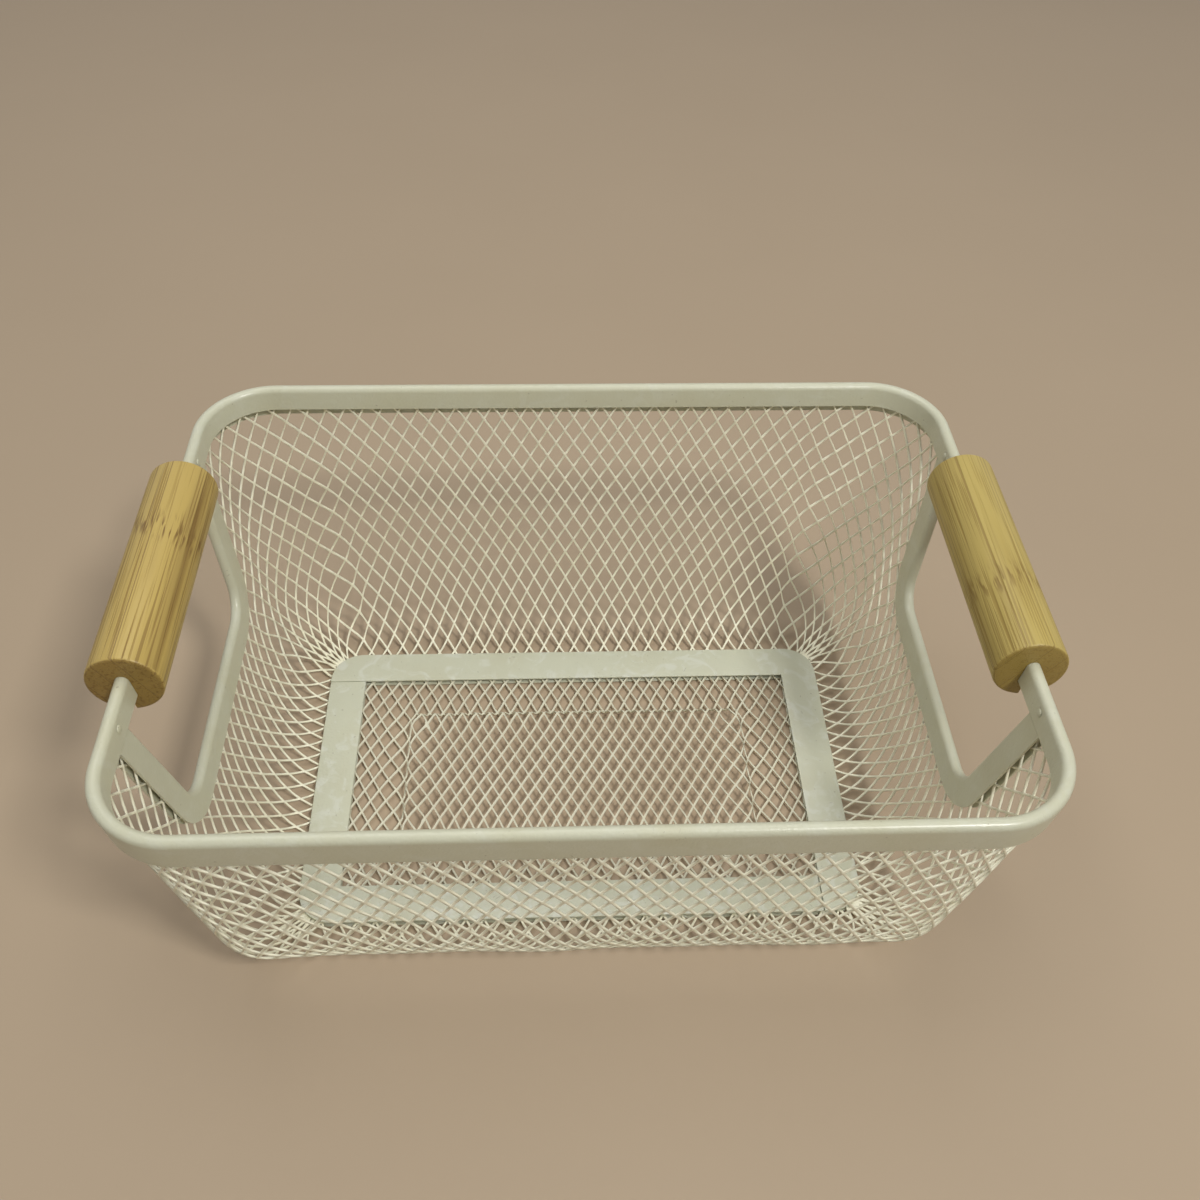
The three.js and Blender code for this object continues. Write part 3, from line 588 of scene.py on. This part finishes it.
def run_along(line):
    """Distance along a line of points, at each of them: the running sum of the steps between them."""
    return np.concatenate([[0], np.cumsum(np.linalg.norm(np.diff(line, axis=0), axis=1))])


def point_at(run, runs, line):
    """The point at a run along a line: its own points, and straight between them."""
    return np.stack([np.interp(run, runs, line[:, axis]) for axis in (0, 1)], axis=-1)


def outline_from_front(length, width, radius):
    """Anticlockwise outline with round corners, from the middle of the front side round to it again."""
    line = rounded_rectangle(length, width, radius, ROUND_STEPS)[0][::-1]
    middle = np.array([[0.0, -width / 2]])
    return np.concatenate([middle, np.roll(line, -2 * (ROUND_STEPS + 1), axis=0), middle])


rim_line = outline_from_front(RIM_LENGTH, RIM_WIDTH, RIM_CORNER)
rim_run = run_along(rim_line)


def column_base(run):
    """For a place on the rim: the nearest frame corner's middle, the direction outwards and the distance."""
    held = point_at(np.mod(run, rim_run[-1]), rim_run, rim_line)
    inside = np.array([FRAME_LENGTH / 2 - FRAME_CORNER, FRAME_WIDTH / 2 - FRAME_CORNER])
    centre = np.clip(held, -inside, inside)
    distance = np.linalg.norm(held - centre, axis=-1, keepdims=True)
    return centre, (held - centre) / distance, distance[..., 0]


def column_profile(outward, distance):
    """Equal steps along one column, as (out, up): a Bezier bend from the frame's edge, then a straight."""
    t = np.linspace(0, 1, BEND_POINTS)[:, None]
    corner = (2 * outward[0] * outward[1]) ** 2
    lean, straight = LEAN + CORNER_LEAN * corner, WALL_STRAIGHT + CORNER_STRAIGHT * corner
    top = np.array([distance - FRAME_CORNER - TOP_DROP * np.sin(LEAN), RISE])
    upwards = np.array([np.sin(lean), np.cos(lean)])
    end = top - straight * upwards
    b0, b1, b2 = np.zeros(2), np.array([FOOT_SWEEP, 0]), end - BEND_SWEEP * upwards
    bend = (1 - t) ** 3 * b0 + 3 * (1 - t) ** 2 * t * b1 + 3 * (1 - t) * t**2 * b2 + t**3 * end
    line = np.concatenate([bend, top[None]])
    run = run_along(line)
    return point_at(np.linspace(0, run[-1], COLUMN_STEPS + 1), run, line), run[-1]


places = np.linspace(0, rim_run[-1], PLACES + 1)
_, facing, distances = column_base(places)
profiles, lengths = zip(*[column_profile(*column) for column in zip(facing, distances)])
profiles, lengths = np.stack(profiles), np.array(lengths)
print("column lengths from", lengths.min().round(1), "to", lengths.max().round(1), "mm")

# %% Where the columns stand
WALL_COLUMNS, TABLE_STEPS = 118, 4001
CORNER_DISTANCES, RIM_PITCHES = (35, 48, 74, 99, 125), (8.5, 8.39, 7.92, 7.48, 7.32)
FOOT_PITCH, GATHERED, GATHER_REACH = 6.3, 0.8, 3.5
SPREAD_REACH, MIDDLE_REACH = 60.0, 40.0
PULLED_DOWN, PULL_REACH, PULL_POWER = 12.2, 145.0, 1.5


def from_corner(run, total, length, radius):
    """Signed distance along an outline to the middle of its nearest corner. The first one lies half the
    length from the start, less the radius, plus an eighth of a circle."""
    first = length / 2 - radius * (1 - np.pi / 4)
    away = run[:, None] - np.array([first, total / 2 - first, total / 2 + first, total - first])
    return np.take_along_axis(away, np.abs(away).argmin(axis=1)[:, None], axis=1)[:, 0]


def column_numbers(run, crowding):
    """Counts columns along a run: the sum of the crowding, scaled to the whole number of columns."""
    count = np.concatenate([[0], np.cumsum((crowding[1:] + crowding[:-1]) / 2 * np.diff(run))])
    return count / count[-1] * WALL_COLUMNS


along_rim = np.linspace(0, rim_run[-1], TABLE_STEPS)
rim_corner = from_corner(along_rim, rim_run[-1], RIM_LENGTH, RIM_CORNER)
rim_numbers = column_numbers(along_rim, 1 / np.interp(np.abs(rim_corner), CORNER_DISTANCES, RIM_PITCHES))
just_before_end = rim_run[-1] - 1e-6
centre, outward, _ = column_base(np.minimum(along_rim, just_before_end))
foot_run = run_along(centre + FRAME_CORNER * outward)
along_foot = np.linspace(0, foot_run[-1], TABLE_STEPS)
foot_corner = from_corner(along_foot, foot_run[-1], FRAME_LENGTH, FRAME_CORNER)
gathering = GATHERED * np.exp(-((foot_corner / GATHER_REACH) ** 2))
foot_numbers = column_numbers(along_foot, 1 / FOOT_PITCH + gathering)
numbers = np.linspace(0, WALL_COLUMNS, TABLE_STEPS)
rim_place = np.interp(numbers, rim_numbers, along_rim)
foot_place = np.interp(np.interp(numbers, foot_numbers, along_foot), foot_run, along_rim)
corner_place = np.interp(rim_place, along_rim, rim_corner)
quarter_rim = rim_run[-1] / 4
from_middle = np.abs((rim_place + quarter_rim / 2) % quarter_rim - quarter_rim / 2)
near_corner = np.exp(-((corner_place / SPREAD_REACH) ** 2))
spread = corner_place * near_corner * np.clip(from_middle / MIDDLE_REACH, 0, 1)
from_back = np.clip(np.abs(rim_place - rim_run[-1] / 2) / PULL_REACH, 0, 1)
pulled_down = PULLED_DOWN * (1 - np.cos(np.pi * from_back**PULL_POWER)) / 2
out_share = profiles[0, :, 0] / profiles[0, -1, 0]
print("columns shift by up to", np.abs(foot_place - rim_place).max().round(1), "mm between rim and foot")

# %% The wall as a function of column and half row
WALL_ROWS, ROW_NUMBERS, ROW_RUNS = 26, (-3, 13, 30), (-27.2, 75.2, 178.0)
CORNER_SPREAD = 0.14
WAVES = ((0.45, 9, 0.35, 0.0), (0.35, 17, -0.55, 1.3))


def wall_surface(u, v):
    """The point of column u at half row v. Below the frame's edge it is flat, above the rim's end straight.
    A column stands between its place at the rim and at the foot, and leans away from corners half way up.
    Waves with a size, a count round the wall, a drift by rows and a start make the long sides uneven."""
    u = np.mod(u, WALL_COLUMNS)
    tables = (rim_place, foot_place, spread, pulled_down)
    at_rim, at_foot, lean, drop = (np.interp(u, numbers, table) for table in tables)
    climb = np.interp(v, ROW_NUMBERS, ROW_RUNS) - drop
    height = np.clip(climb / lengths[0], 0, 1)
    share = np.interp(height, np.linspace(0, 1, COLUMN_STEPS + 1), out_share)
    run = at_rim + (1 - share) * (at_foot - at_rim) + CORNER_SPREAD * 4 * share * (1 - share) * lean
    centre, outward, _ = column_base(run)
    turns = 2 * np.pi * u / WALL_COLUMNS
    uneven = sum(size * np.sin(count * turns + drift * v + start) for size, count, drift, start in WAVES)
    uneven = uneven * 4 * height * (1 - height) * outward[..., 1] ** 4
    place = np.mod(run, rim_run[-1]) / rim_run[-1] * PLACES
    length = np.interp(place, np.arange(PLACES + 1), lengths)
    step = np.clip(climb / length * COLUMN_STEPS, 0, COLUMN_STEPS - 0.001)
    p0, s0 = np.minimum(place.astype(int), PLACES - 1), step.astype(int)
    fp, fs = (place - p0)[..., None], (step - s0)[..., None]
    before = profiles[p0, s0] * (1 - fs) + profiles[p0, s0 + 1] * fs
    after = profiles[p0 + 1, s0] * (1 - fs) + profiles[p0 + 1, s0 + 1] * fs
    spot = before * (1 - fp) + after * fp
    beyond = np.maximum(climb - length, 0)
    out = spot[..., 0] + np.minimum(climb, 0) + beyond * np.sin(LEAN) + uneven
    up = spot[..., 1] + beyond * np.cos(LEAN)
    flat_place = centre + outward * (FRAME_CORNER + out)[..., None]
    return np.concatenate([flat_place, (MESH_MIDDLE + up)[..., None]], axis=-1)


first_column = wall_surface(np.zeros(2), np.array([0.0, WALL_ROWS]))
print("the first column runs from", first_column[0].round(1), "to", first_column[1].round(1))


# %% Which strands the wall keeps
def outside_round(beyond, radius):
    """Distance outside a round corner, from how far a point lies beyond the corner's middle both ways: the
    length of the parts above zero, or the larger part where both are below, less the radius."""
    outer = np.linalg.norm(np.maximum(beyond, 0), axis=-1)
    return outer + np.minimum(beyond.max(axis=-1), 0) - radius


BAND_MARGIN, LAP_MARGIN, RIM_MARGIN = 3.3, 1.5, 4.5


def outside_cutouts(points):
    """True where a strand's middle is well below or beside the cut-outs, so that the band hides its end."""
    x, y, z = np.abs(points[..., 0]), np.abs(points[..., 1]), points[..., 2]
    up = (x - RIM_LENGTH / 2) * np.sin(LEAN) + (z - BEAD_HEIGHT) * np.cos(LEAN)
    beside = (y - CUTOUT_BOTTOM / 2 - FLARE * (up + CUTOUT_DEPTH)) * np.cos(SLOPE)
    below = -CUTOUT_DEPTH - up
    return outside_round(np.stack([beside, below], axis=-1) + CUTOUT_BEND, CUTOUT_BEND) > BAND_MARGIN


def in_wall(points):
    """True for strands that start under the frame, end inside the rim's fold and stay out of the cut-outs."""
    beyond = np.abs(points[..., :2]) - np.array([FRAME_LENGTH, FRAME_WIDTH]) / 2 + FRAME_CORNER
    past_lap = outside_round(beyond, FRAME_CORNER) > LAP_MARGIN - WALL_LAP
    below_rim = points[..., 2] < BEAD_HEIGHT - RIM_MARGIN
    return outside_cutouts(points) & past_lap & below_rim


kept = in_wall(wall_surface(np.zeros(WALL_ROWS), np.arange(WALL_ROWS)))
print("the first column keeps", kept.sum(), "of", WALL_ROWS, "half rows")

# %% The wall
wall_points, wall_faces = expanded_metal(
    wall_surface, WALL_COLUMNS, WALL_ROWS,
    strand=0.74, thickness=0.7, twist=0.05, bends=2, keep=in_wall)
make_piece("wall_strands", wall_points, wall_faces, WALL_COAT_PAINTED_LIGHT, ["wall_mesh"], crease=95)

# %% [markdown]
# ## The floor panel
# The floor is the same lattice on a flat sheet, laid in about one degree askew. A shallow rectangle was
# pressed into it to stiffen it. It could be a second mesh on top, but the sheet is one, so its height is
# a smooth step of the distance inside that rectangle. The step takes up some length of the strands,
# which are therefore drawn towards it from both sides.

# %% The floor panel
PANEL_LAP, PANEL_MARGIN, PANEL_TURN = 5.0, 1.0, np.radians(-1.2)
BASE_PITCH_X, BASE_PITCH_Y = 5.74, 10.2
PRESSING = np.array([69.7, 31.1])
PRESSING_HEIGHT, PRESSING_SLOPE, PRESSING_CORNER = 3.0, 1.4, 3.0
PRESSING_DRAG, PRESSING_REACH = 0.6, 5.0
panel_half = np.array([FRAME_LENGTH, FRAME_WIDTH]) / 2 - FRAME_STRIP + PANEL_LAP
BASE_COLUMNS = int(2 * panel_half[0] / BASE_PITCH_X) + 3
BASE_ROWS = int(4 * panel_half[1] / BASE_PITCH_Y) + 2


def panel_surface(u, v):
    """The flat panel, raised inside the pressing by a smooth step of the distance from its edge. Pressing
    also drags the strands towards that edge, most of all those close to it."""
    x, y = (u - BASE_COLUMNS / 2) * BASE_PITCH_X, (v - BASE_ROWS / 2) * BASE_PITCH_Y / 2
    cos, sin = np.cos(PANEL_TURN), np.sin(PANEL_TURN)
    flat = np.stack([x * cos - y * sin, x * sin + y * cos], axis=-1)
    beyond = np.abs(flat) - PRESSING + PRESSING_CORNER
    away = outside_round(beyond, PRESSING_CORNER)
    across_x = beyond[..., 0] > beyond[..., 1]
    straight = np.stack([across_x, ~across_x], axis=-1)
    outer = np.maximum(beyond, 0)
    rounded = outer / np.maximum(np.linalg.norm(outer, axis=-1, keepdims=True), 0.001)
    facing = np.where(beyond.min(axis=-1, keepdims=True) > 0, rounded, straight) * np.sign(flat)
    left_after = away * (1 - PRESSING_DRAG * np.exp(-((away / PRESSING_REACH) ** 2)))
    t = np.clip(-left_after / PRESSING_SLOPE + 0.5, 0, 1)
    height = MESH_MIDDLE + PRESSING_HEIGHT * t * t * (3 - 2 * t)
    return np.concatenate([flat + facing * (left_after - away)[..., None], height[..., None]], axis=-1)


def inside_panel(points):
    """True for strands on the panel; what wraps past its last column is left out."""
    return np.all(np.abs(points[..., :2]) < panel_half - PANEL_MARGIN, axis=-1)


panel_points, panel_faces = expanded_metal(
    panel_surface, BASE_COLUMNS, BASE_ROWS,
    strand=0.7, thickness=0.55, twist=0.12, bends=4, keep=inside_panel)
make_piece("base_strands", panel_points, panel_faces, PANEL_COAT_PAINTED_LIGHT_AND_SHADE, ["base_mesh"], crease=95)

# %% [markdown]
# ## Bamboo
# A grip is turned from laminated bamboo: strips a few millimetres thick, glued side by side. Each
# strip has its own tone, fine dark fibres along its length and, here and there, the mark of a node
# where a leaf once grew. An image could be wrapped round it, but here everything is worked out from the
# place inside the rod, so the end grain shows the same fibres as dots. The two grips share one group
# and differ in their values.

# %% Bamboo strips as a node group
BAMBOO, bam_in, bam_out = new_group(
    "bamboo_strips",
    [("Centre", "NodeSocketVector", (0, 0, 0)), ("Turn", "NodeSocketFloat", 0.3),
     ("Pale", "NodeSocketColor", (0.6, 0.45, 0.2, 1)), ("Dark", "NodeSocketColor", (0.3, 0.16, 0.05, 1)),
     ("Fibre", "NodeSocketFloat", 0.5), ("Node place", "NodeSocketFloat", 0.0)],
    [("Colour", "NodeSocketColor"), ("Roughness", "NodeSocketFloat"), ("Height", "NodeSocketFloat")],
)
STRIP_OF_BAMBOO, FIRST_STRIP = 7.4 * MM, 8.35
rod_place = add_node(BAMBOO, "ShaderNodeTexCoord").outputs["Object"]
centred = add_node(BAMBOO, "ShaderNodeVectorMath", {0: rod_place, 1: bam_in["Centre"]}, operation="SUBTRACT")
turned = {"Vector": centred.outputs[0], "Axis": (0, 1, 0), "Angle": bam_in["Turn"]}
rod_place = add_node(BAMBOO, "ShaderNodeVectorRotate", turned, rotation_type="AXIS_ANGLE").outputs[0]
rod_x, rod_y, _ = add_node(BAMBOO, "ShaderNodeSeparateXYZ", {0: rod_place}).outputs
layer = maths(BAMBOO, "ADD", maths(BAMBOO, "DIVIDE", rod_x, STRIP_OF_BAMBOO), FIRST_STRIP)
layer_number, layer_share = maths(BAMBOO, "FLOOR", layer), maths(BAMBOO, "FRACT", layer)


def strip_chance(seed):
    """A random value from 0 to 1 for each strip: white noise of the strip's number plus the seed."""
    number = maths(BAMBOO, "ADD", layer_number, seed)
    return add_node(BAMBOO, "ShaderNodeTexWhiteNoise", {"W": number}, noise_dimensions="1D").outputs["Value"]


def stretched_noise(across, along, detail):
    """Noise drawn out along the rod: fine across it and slow along it, in waves to the metre."""
    waves = {0: rod_place, 1: (across, along, across)}
    scaled = add_node(BAMBOO, "ShaderNodeVectorMath", waves, operation="MULTIPLY")
    inputs = {"Vector": scaled.outputs[0], "Scale": 1.0, "Detail": detail}
    return add_node(BAMBOO, "ShaderNodeTexNoise", inputs).outputs["Fac"]


tone = strip_chance(seed=0.0)
fibre = ramp(BAMBOO, stretched_noise(across=1500.0, along=22.0, detail=1.5), 0.52, 0.68)
streak = ramp(BAMBOO, stretched_noise(across=950.0, along=9.0, detail=1.0), 0.585, 0.67)
feather = ramp(BAMBOO, stretched_noise(across=1150.0, along=120.0, detail=1.0), 0.47, 0.62)
cloud = ramp(BAMBOO, stretched_noise(across=140.0, along=14.0, detail=2.0), 0.4, 0.75)
to_seam = maths(BAMBOO, "MINIMUM", layer_share, maths(BAMBOO, "SUBTRACT", 1.0, layer_share))
seam = ramp(BAMBOO, to_seam, 0.035, 0.008)
print("bamboo_strips has", len(BAMBOO.nodes), "nodes so far")


# %% Nodes and colours of the bamboo
def swing(value, size):
    """A value from 0 to 1 as a shift of up to half the size each way: (value - 0.5) * size."""
    return maths(BAMBOO, "MULTIPLY", maths(BAMBOO, "SUBTRACT", value, 0.5), size)


scatter = swing(strip_chance(seed=17.3), 24 * MM)
wander = swing(stretched_noise(across=420.0, along=60.0, detail=1.0), 12 * MM)
from_node = maths(BAMBOO, "SUBTRACT", rod_y, maths(BAMBOO, "ADD", bam_in["Node place"], scatter))
from_node = maths(BAMBOO, "ABSOLUTE", maths(BAMBOO, "ADD", from_node, wander))
node_mark = ramp(BAMBOO, from_node, 8.5 * MM, 0.5 * MM)
node_line = ramp(BAMBOO, from_node, 1.4 * MM, 0.2 * MM)
end_grain = ramp(BAMBOO, maths(BAMBOO, "ABSOLUTE", rod_y), 46.4 * MM, 46.8 * MM)
crowded = ramp(BAMBOO, layer_share, 0.0, 1.0, to_low=0.3, to_high=1.0)
dark_layers = (
    (tone, 0.3),
    (cloud, 0.3),
    (maths(BAMBOO, "MULTIPLY", fibre, crowded), bam_in["Fibre"]),
    (streak, bam_in["Fibre"]),
    (maths(BAMBOO, "MULTIPLY", feather, node_mark), 0.85),
    (maths(BAMBOO, "MULTIPLY", feather, node_line), 0.5),
    (seam, 0.65),
    (end_grain, 0.62),
)
bamboo_colour = bam_in["Pale"]
for mask, strength in dark_layers:
    bamboo_colour = blend(BAMBOO, maths(BAMBOO, "MULTIPLY", mask, strength), bamboo_colour, bam_in["Dark"])
bamboo_rough = ramp(BAMBOO, fibre, 0.0, 1.0, to_low=0.4, to_high=0.58)
sunk = maths(BAMBOO, "ADD", fibre, seam)
relief = maths(BAMBOO, "SUBTRACT", maths(BAMBOO, "MULTIPLY", node_mark, 0.5), sunk)
for result, socket in ((bamboo_colour, "Colour"), (bamboo_rough, "Roughness"), (relief, "Height")):
    BAMBOO.links.new(result, bam_out[socket])
print("bamboo_strips has", len(BAMBOO.nodes), "nodes")

# %% Two bamboo finishes
FIBRE_DEPTH = 0.08
GRIP_FINISH = {
    "left": dict(turn=0.5, pale=(0.59, 0.43, 0.12, 1), dark=(0.18, 0.095, 0.014, 1),
                 fibre_share=0.6, node_place=16.0),
    "right": dict(turn=-0.6, pale=(0.56, 0.435, 0.125, 1), dark=(0.24, 0.15, 0.026, 1),
                  fibre_share=0.5, node_place=-16.0),
}


def bamboo(name, centre, turn, pale, dark, fibre_share, node_place):
    """One grip's bamboo: the bamboo_strips group with its own values, lengths in millimetres."""
    values = {"Centre": tuple(np.asarray(centre) * MM), "Turn": turn, "Pale": pale, "Dark": dark,
              "Fibre": fibre_share, "Node place": node_place * MM}
    return textured(name, BAMBOO, values, FIBRE_DEPTH)[0]


print("bamboo finishes:", list(GRIP_FINISH))

# %% [markdown]
# ## The grips
# A grip is a dowel with a slot sawn into it from below, which drops over the handle bar. The bar's
# inner leg is the shorter one, so the slot is narrow at its mouth, where only the outer leg passes, and
# full width above. A Boolean could cut it, but an outline that already has the slot keeps the faces
# clean: it is a circle with a notch, pushed along the bar with eased ends.

# %% The grips
GRIP_RADIUS, GRIP_LENGTH, GRIP_DROP, GRIP_SHIFT, GRIP_EASE = 12.1, 94.0, 1.6, 2.0, 1.1
SLOT_PLAY, SLOT_MOUTH, STEP_GAP, STEP_EASE = 0.12, 0.25, 0.5, 0.6
slot, slot_step = RIM_THICKNESS / 2 + SLOT_PLAY, GRIP_DROP - RIM_INNER_LEG - STEP_GAP


def grip_outline(radius):
    """The dowel's circle, then the slot: up its mouth, in over a step, and round over the bar's bead."""
    mouth_out, mouth_in = np.arcsin(slot / radius), np.arcsin(SLOT_MOUTH / radius)
    return np.concatenate([
        arc((0, 0), radius, -np.pi / 2 + mouth_out, 1.5 * np.pi + mouth_in, steps=72),
        [[SLOT_MOUTH, slot_step - STEP_EASE], [SLOT_MOUTH - STEP_EASE, slot_step], [-slot, slot_step]],
        arc((0, GRIP_DROP), slot, np.pi, 0, steps=12),
    ])


shrink, height = eased_stops(-GRIP_LENGTH / 2, GRIP_LENGTH / 2, GRIP_EASE, steps=5)
grip_grid = stack_outlines([grip_outline(GRIP_RADIUS - step) for step in shrink], height)
grip_faces = skin_faces(*grip_grid.shape[:2], closed=False)
for side, finish in GRIP_FINISH.items():
    offset = GRIP_SHIFT if side == "right" else -GRIP_SHIFT
    out, up, along = np.moveaxis(grip_grid, -1, 0)
    grid = stand_at_end(np.stack([offset - along, up - GRIP_DROP, out], axis=-1), side)
    centre = stand_at_end(np.array([offset, -GRIP_DROP, 0.0]), side)
    material = bamboo(f"{side}_bamboo", centre, **finish)
    make_piece(f"{side}_bamboo_grip", grid, grip_faces, material, [f"{side}_grip"])

# %% [markdown]
# ## Camera
# The camera stands at the picture's viewpoint: about half a metre away, looking down at 46 degrees and
# almost level. It could be turned by three angles in the right order, but axes are easier to check:
# they are worked out from yaw, pitch and roll, and become the columns of its matrix.


# %% Camera
def set_place(thing, across, up, back, spot):
    """Places an object by its matrix: three axes as columns, then the spot in metres."""
    matrix = np.eye(4)
    matrix[:3, :3] = np.column_stack([across, up, back])
    matrix[:3, 3] = spot
    thing.matrix_world = Matrix(matrix.tolist())


CAMERA_AT = np.array([-10.962, -287.65, 407.481])
YAW, PITCH, ROLL = np.radians([3.5259, 46.3578, 1.7969])
forward = np.array([np.sin(YAW) * np.cos(PITCH), np.cos(YAW) * np.cos(PITCH), -np.sin(PITCH)])
level = np.array([np.cos(YAW), -np.sin(YAW), 0.0])
upright = np.cross(level, forward)
camera_x = np.cos(ROLL) * level + np.sin(ROLL) * upright
camera_y = -np.sin(ROLL) * level + np.cos(ROLL) * upright
camera_data = bpy.data.cameras.new("camera")
camera_data.sensor_width, camera_data.lens = 36.0, 36.0
camera_data.clip_start, camera_data.clip_end = 0.01, 50.0
camera = bpy.data.objects.new("camera", camera_data)
scene.collection.objects.link(camera)
set_place(camera, camera_x, camera_y, -forward, CAMERA_AT * MM)
scene.camera = camera
print("camera at", CAMERA_AT.round(1), "mm")

# %% [markdown]
# ## Floor and light
# The floor is plain and pale, and far away it fades into the background. A broad lamp overhead and the
# pale world give the soft light of a room, a smaller lamp at the right front draws the shadows, and a
# faint one on the left opens them. A brighter world would make the background pale as well, but it
# would also wash out the basket, so that colour is for the camera and for reflections only.


# %% Floor
def seen_rays(tree):
    """1 for rays of the camera, of reflections and through glass, and 0 for rays that only carry light."""
    rays = add_node(tree, "ShaderNodeLightPath").outputs
    mirrored = maths(tree, "MAXIMUM", rays["Is Glossy Ray"], rays["Is Transmission Ray"])
    return maths(tree, "MAXIMUM", rays["Is Camera Ray"], mirrored)


BACKGROUND, BACKGROUND_LEVEL = (0.80, 0.80, 0.80, 1), 0.9
FLOOR_DARK, FLOOR_PALE, FLOOR_ROUGHNESS = (0.415, 0.32, 0.22, 1), (0.445, 0.345, 0.24, 1), 0.6
FLOOR_HALF, FLOOR_LEVEL, FADE_START, FADE_END = 3.0, -0.0002, 1.1, 2.5
floor_material, floor_tree, floor_shader = new_material("pale_floor")
floor_place = add_node(floor_tree, "ShaderNodeTexCoord").outputs["Object"]
clouds = add_node(floor_tree, "ShaderNodeTexNoise", {"Vector": floor_place, "Scale": 6.0, "Detail": 4.0})
floor_colour = blend(floor_tree, clouds.outputs["Fac"], FLOOR_DARK, FLOOR_PALE)
floor_tree.links.new(floor_colour, floor_shader.inputs["Base Color"])
floor_shader.inputs["Roughness"].default_value = FLOOR_ROUGHNESS
reach = add_node(floor_tree, "ShaderNodeVectorMath", {0: floor_place}, operation="LENGTH").outputs["Value"]
fade = maths(floor_tree, "MULTIPLY", ramp(floor_tree, reach, FADE_START, FADE_END), seen_rays(floor_tree))
haze = add_node(floor_tree, "ShaderNodeEmission", {"Color": BACKGROUND, "Strength": BACKGROUND_LEVEL})
faded = add_node(floor_tree, "ShaderNodeMixShader", {0: fade, 1: floor_shader.outputs[0], 2: haze.outputs[0]})
floor_tree.links.new(faded.outputs[0], floor_tree.nodes["Material Output"].inputs["Surface"])
floor_mesh = bpy.data.meshes.new("floor")
floor_corners = FLOOR_HALF * np.array([[-1, -1], [1, -1], [1, 1], [-1, 1]])
floor_points = np.column_stack([floor_corners, np.full(4, FLOOR_LEVEL)])
floor_mesh.from_pydata(floor_points.tolist(), [], [(0, 1, 2, 3)])
floor_mesh.materials.append(floor_material)
floor = bpy.data.objects.new("floor", floor_mesh)
scene.collection.objects.link(floor)
floor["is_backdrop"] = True
print("floor", 2 * FLOOR_HALF, "m wide")


# %% Lamps and world
def soft_lamp(name, spot, size, watts, colour):
    """A square area lamp at spot that faces the basket's middle; lengths in metres."""
    data = bpy.data.lights.new(name, "AREA")
    data.shape, data.size, data.energy, data.color = "SQUARE", size, watts, colour
    lamp = bpy.data.objects.new(name, data)
    scene.collection.objects.link(lamp)
    away = np.asarray(spot, dtype=float) - BASKET_MIDDLE
    away /= np.linalg.norm(away)
    side = np.cross([0.0, 1.0, 0.0], away)
    side /= np.linalg.norm(side)
    set_place(lamp, side, np.cross(away, side), away, spot)


BASKET_MIDDLE = (0, 0, 0.05)
WORLD_COLOUR, WORLD_LIGHT = (0.95, 0.97, 1.0, 1), 0.17
soft_lamp("ceiling", (-0.1, 0.35, 1.5), size=1.1, watts=9.6, colour=(1.0, 0.98, 0.94))
soft_lamp("window", (0.67, -0.8, 1.46), size=0.26, watts=15.5, colour=(1.0, 0.99, 0.96))
soft_lamp("fill", (-1.2, -0.5, 0.9), size=0.7, watts=1.5, colour=(1.0, 0.97, 0.93))
world = bpy.data.worlds.new("room")
scene.world = world
world.use_nodes = True
room = world.node_tree
for old in list(room.nodes):
    room.nodes.remove(old)
light = add_node(room, "ShaderNodeBackground", {"Color": WORLD_COLOUR, "Strength": WORLD_LIGHT})
shown = add_node(room, "ShaderNodeBackground", {"Color": BACKGROUND, "Strength": BACKGROUND_LEVEL})
mixed = add_node(room, "ShaderNodeMixShader", {0: seen_rays(room), 1: light.outputs[0], 2: shown.outputs[0]})
add_node(room, "ShaderNodeOutputWorld", {"Surface": mixed.outputs[0]})
scene.view_settings.view_transform = "Standard"
print("lamps:", [lamp.name for lamp in bpy.data.lights])

# %% [markdown]
# ## Measuring the result
# The dressed basket has to stay inside the box of its solids, so both boxes are worked out side by side.

# %% Boxes
low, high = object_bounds()
{"cad": [list(cad_low), list(cad_high)], "visual": [list(low), list(high)]}
print("visual box:", [round(v, 4) for v in (*low, *high)])
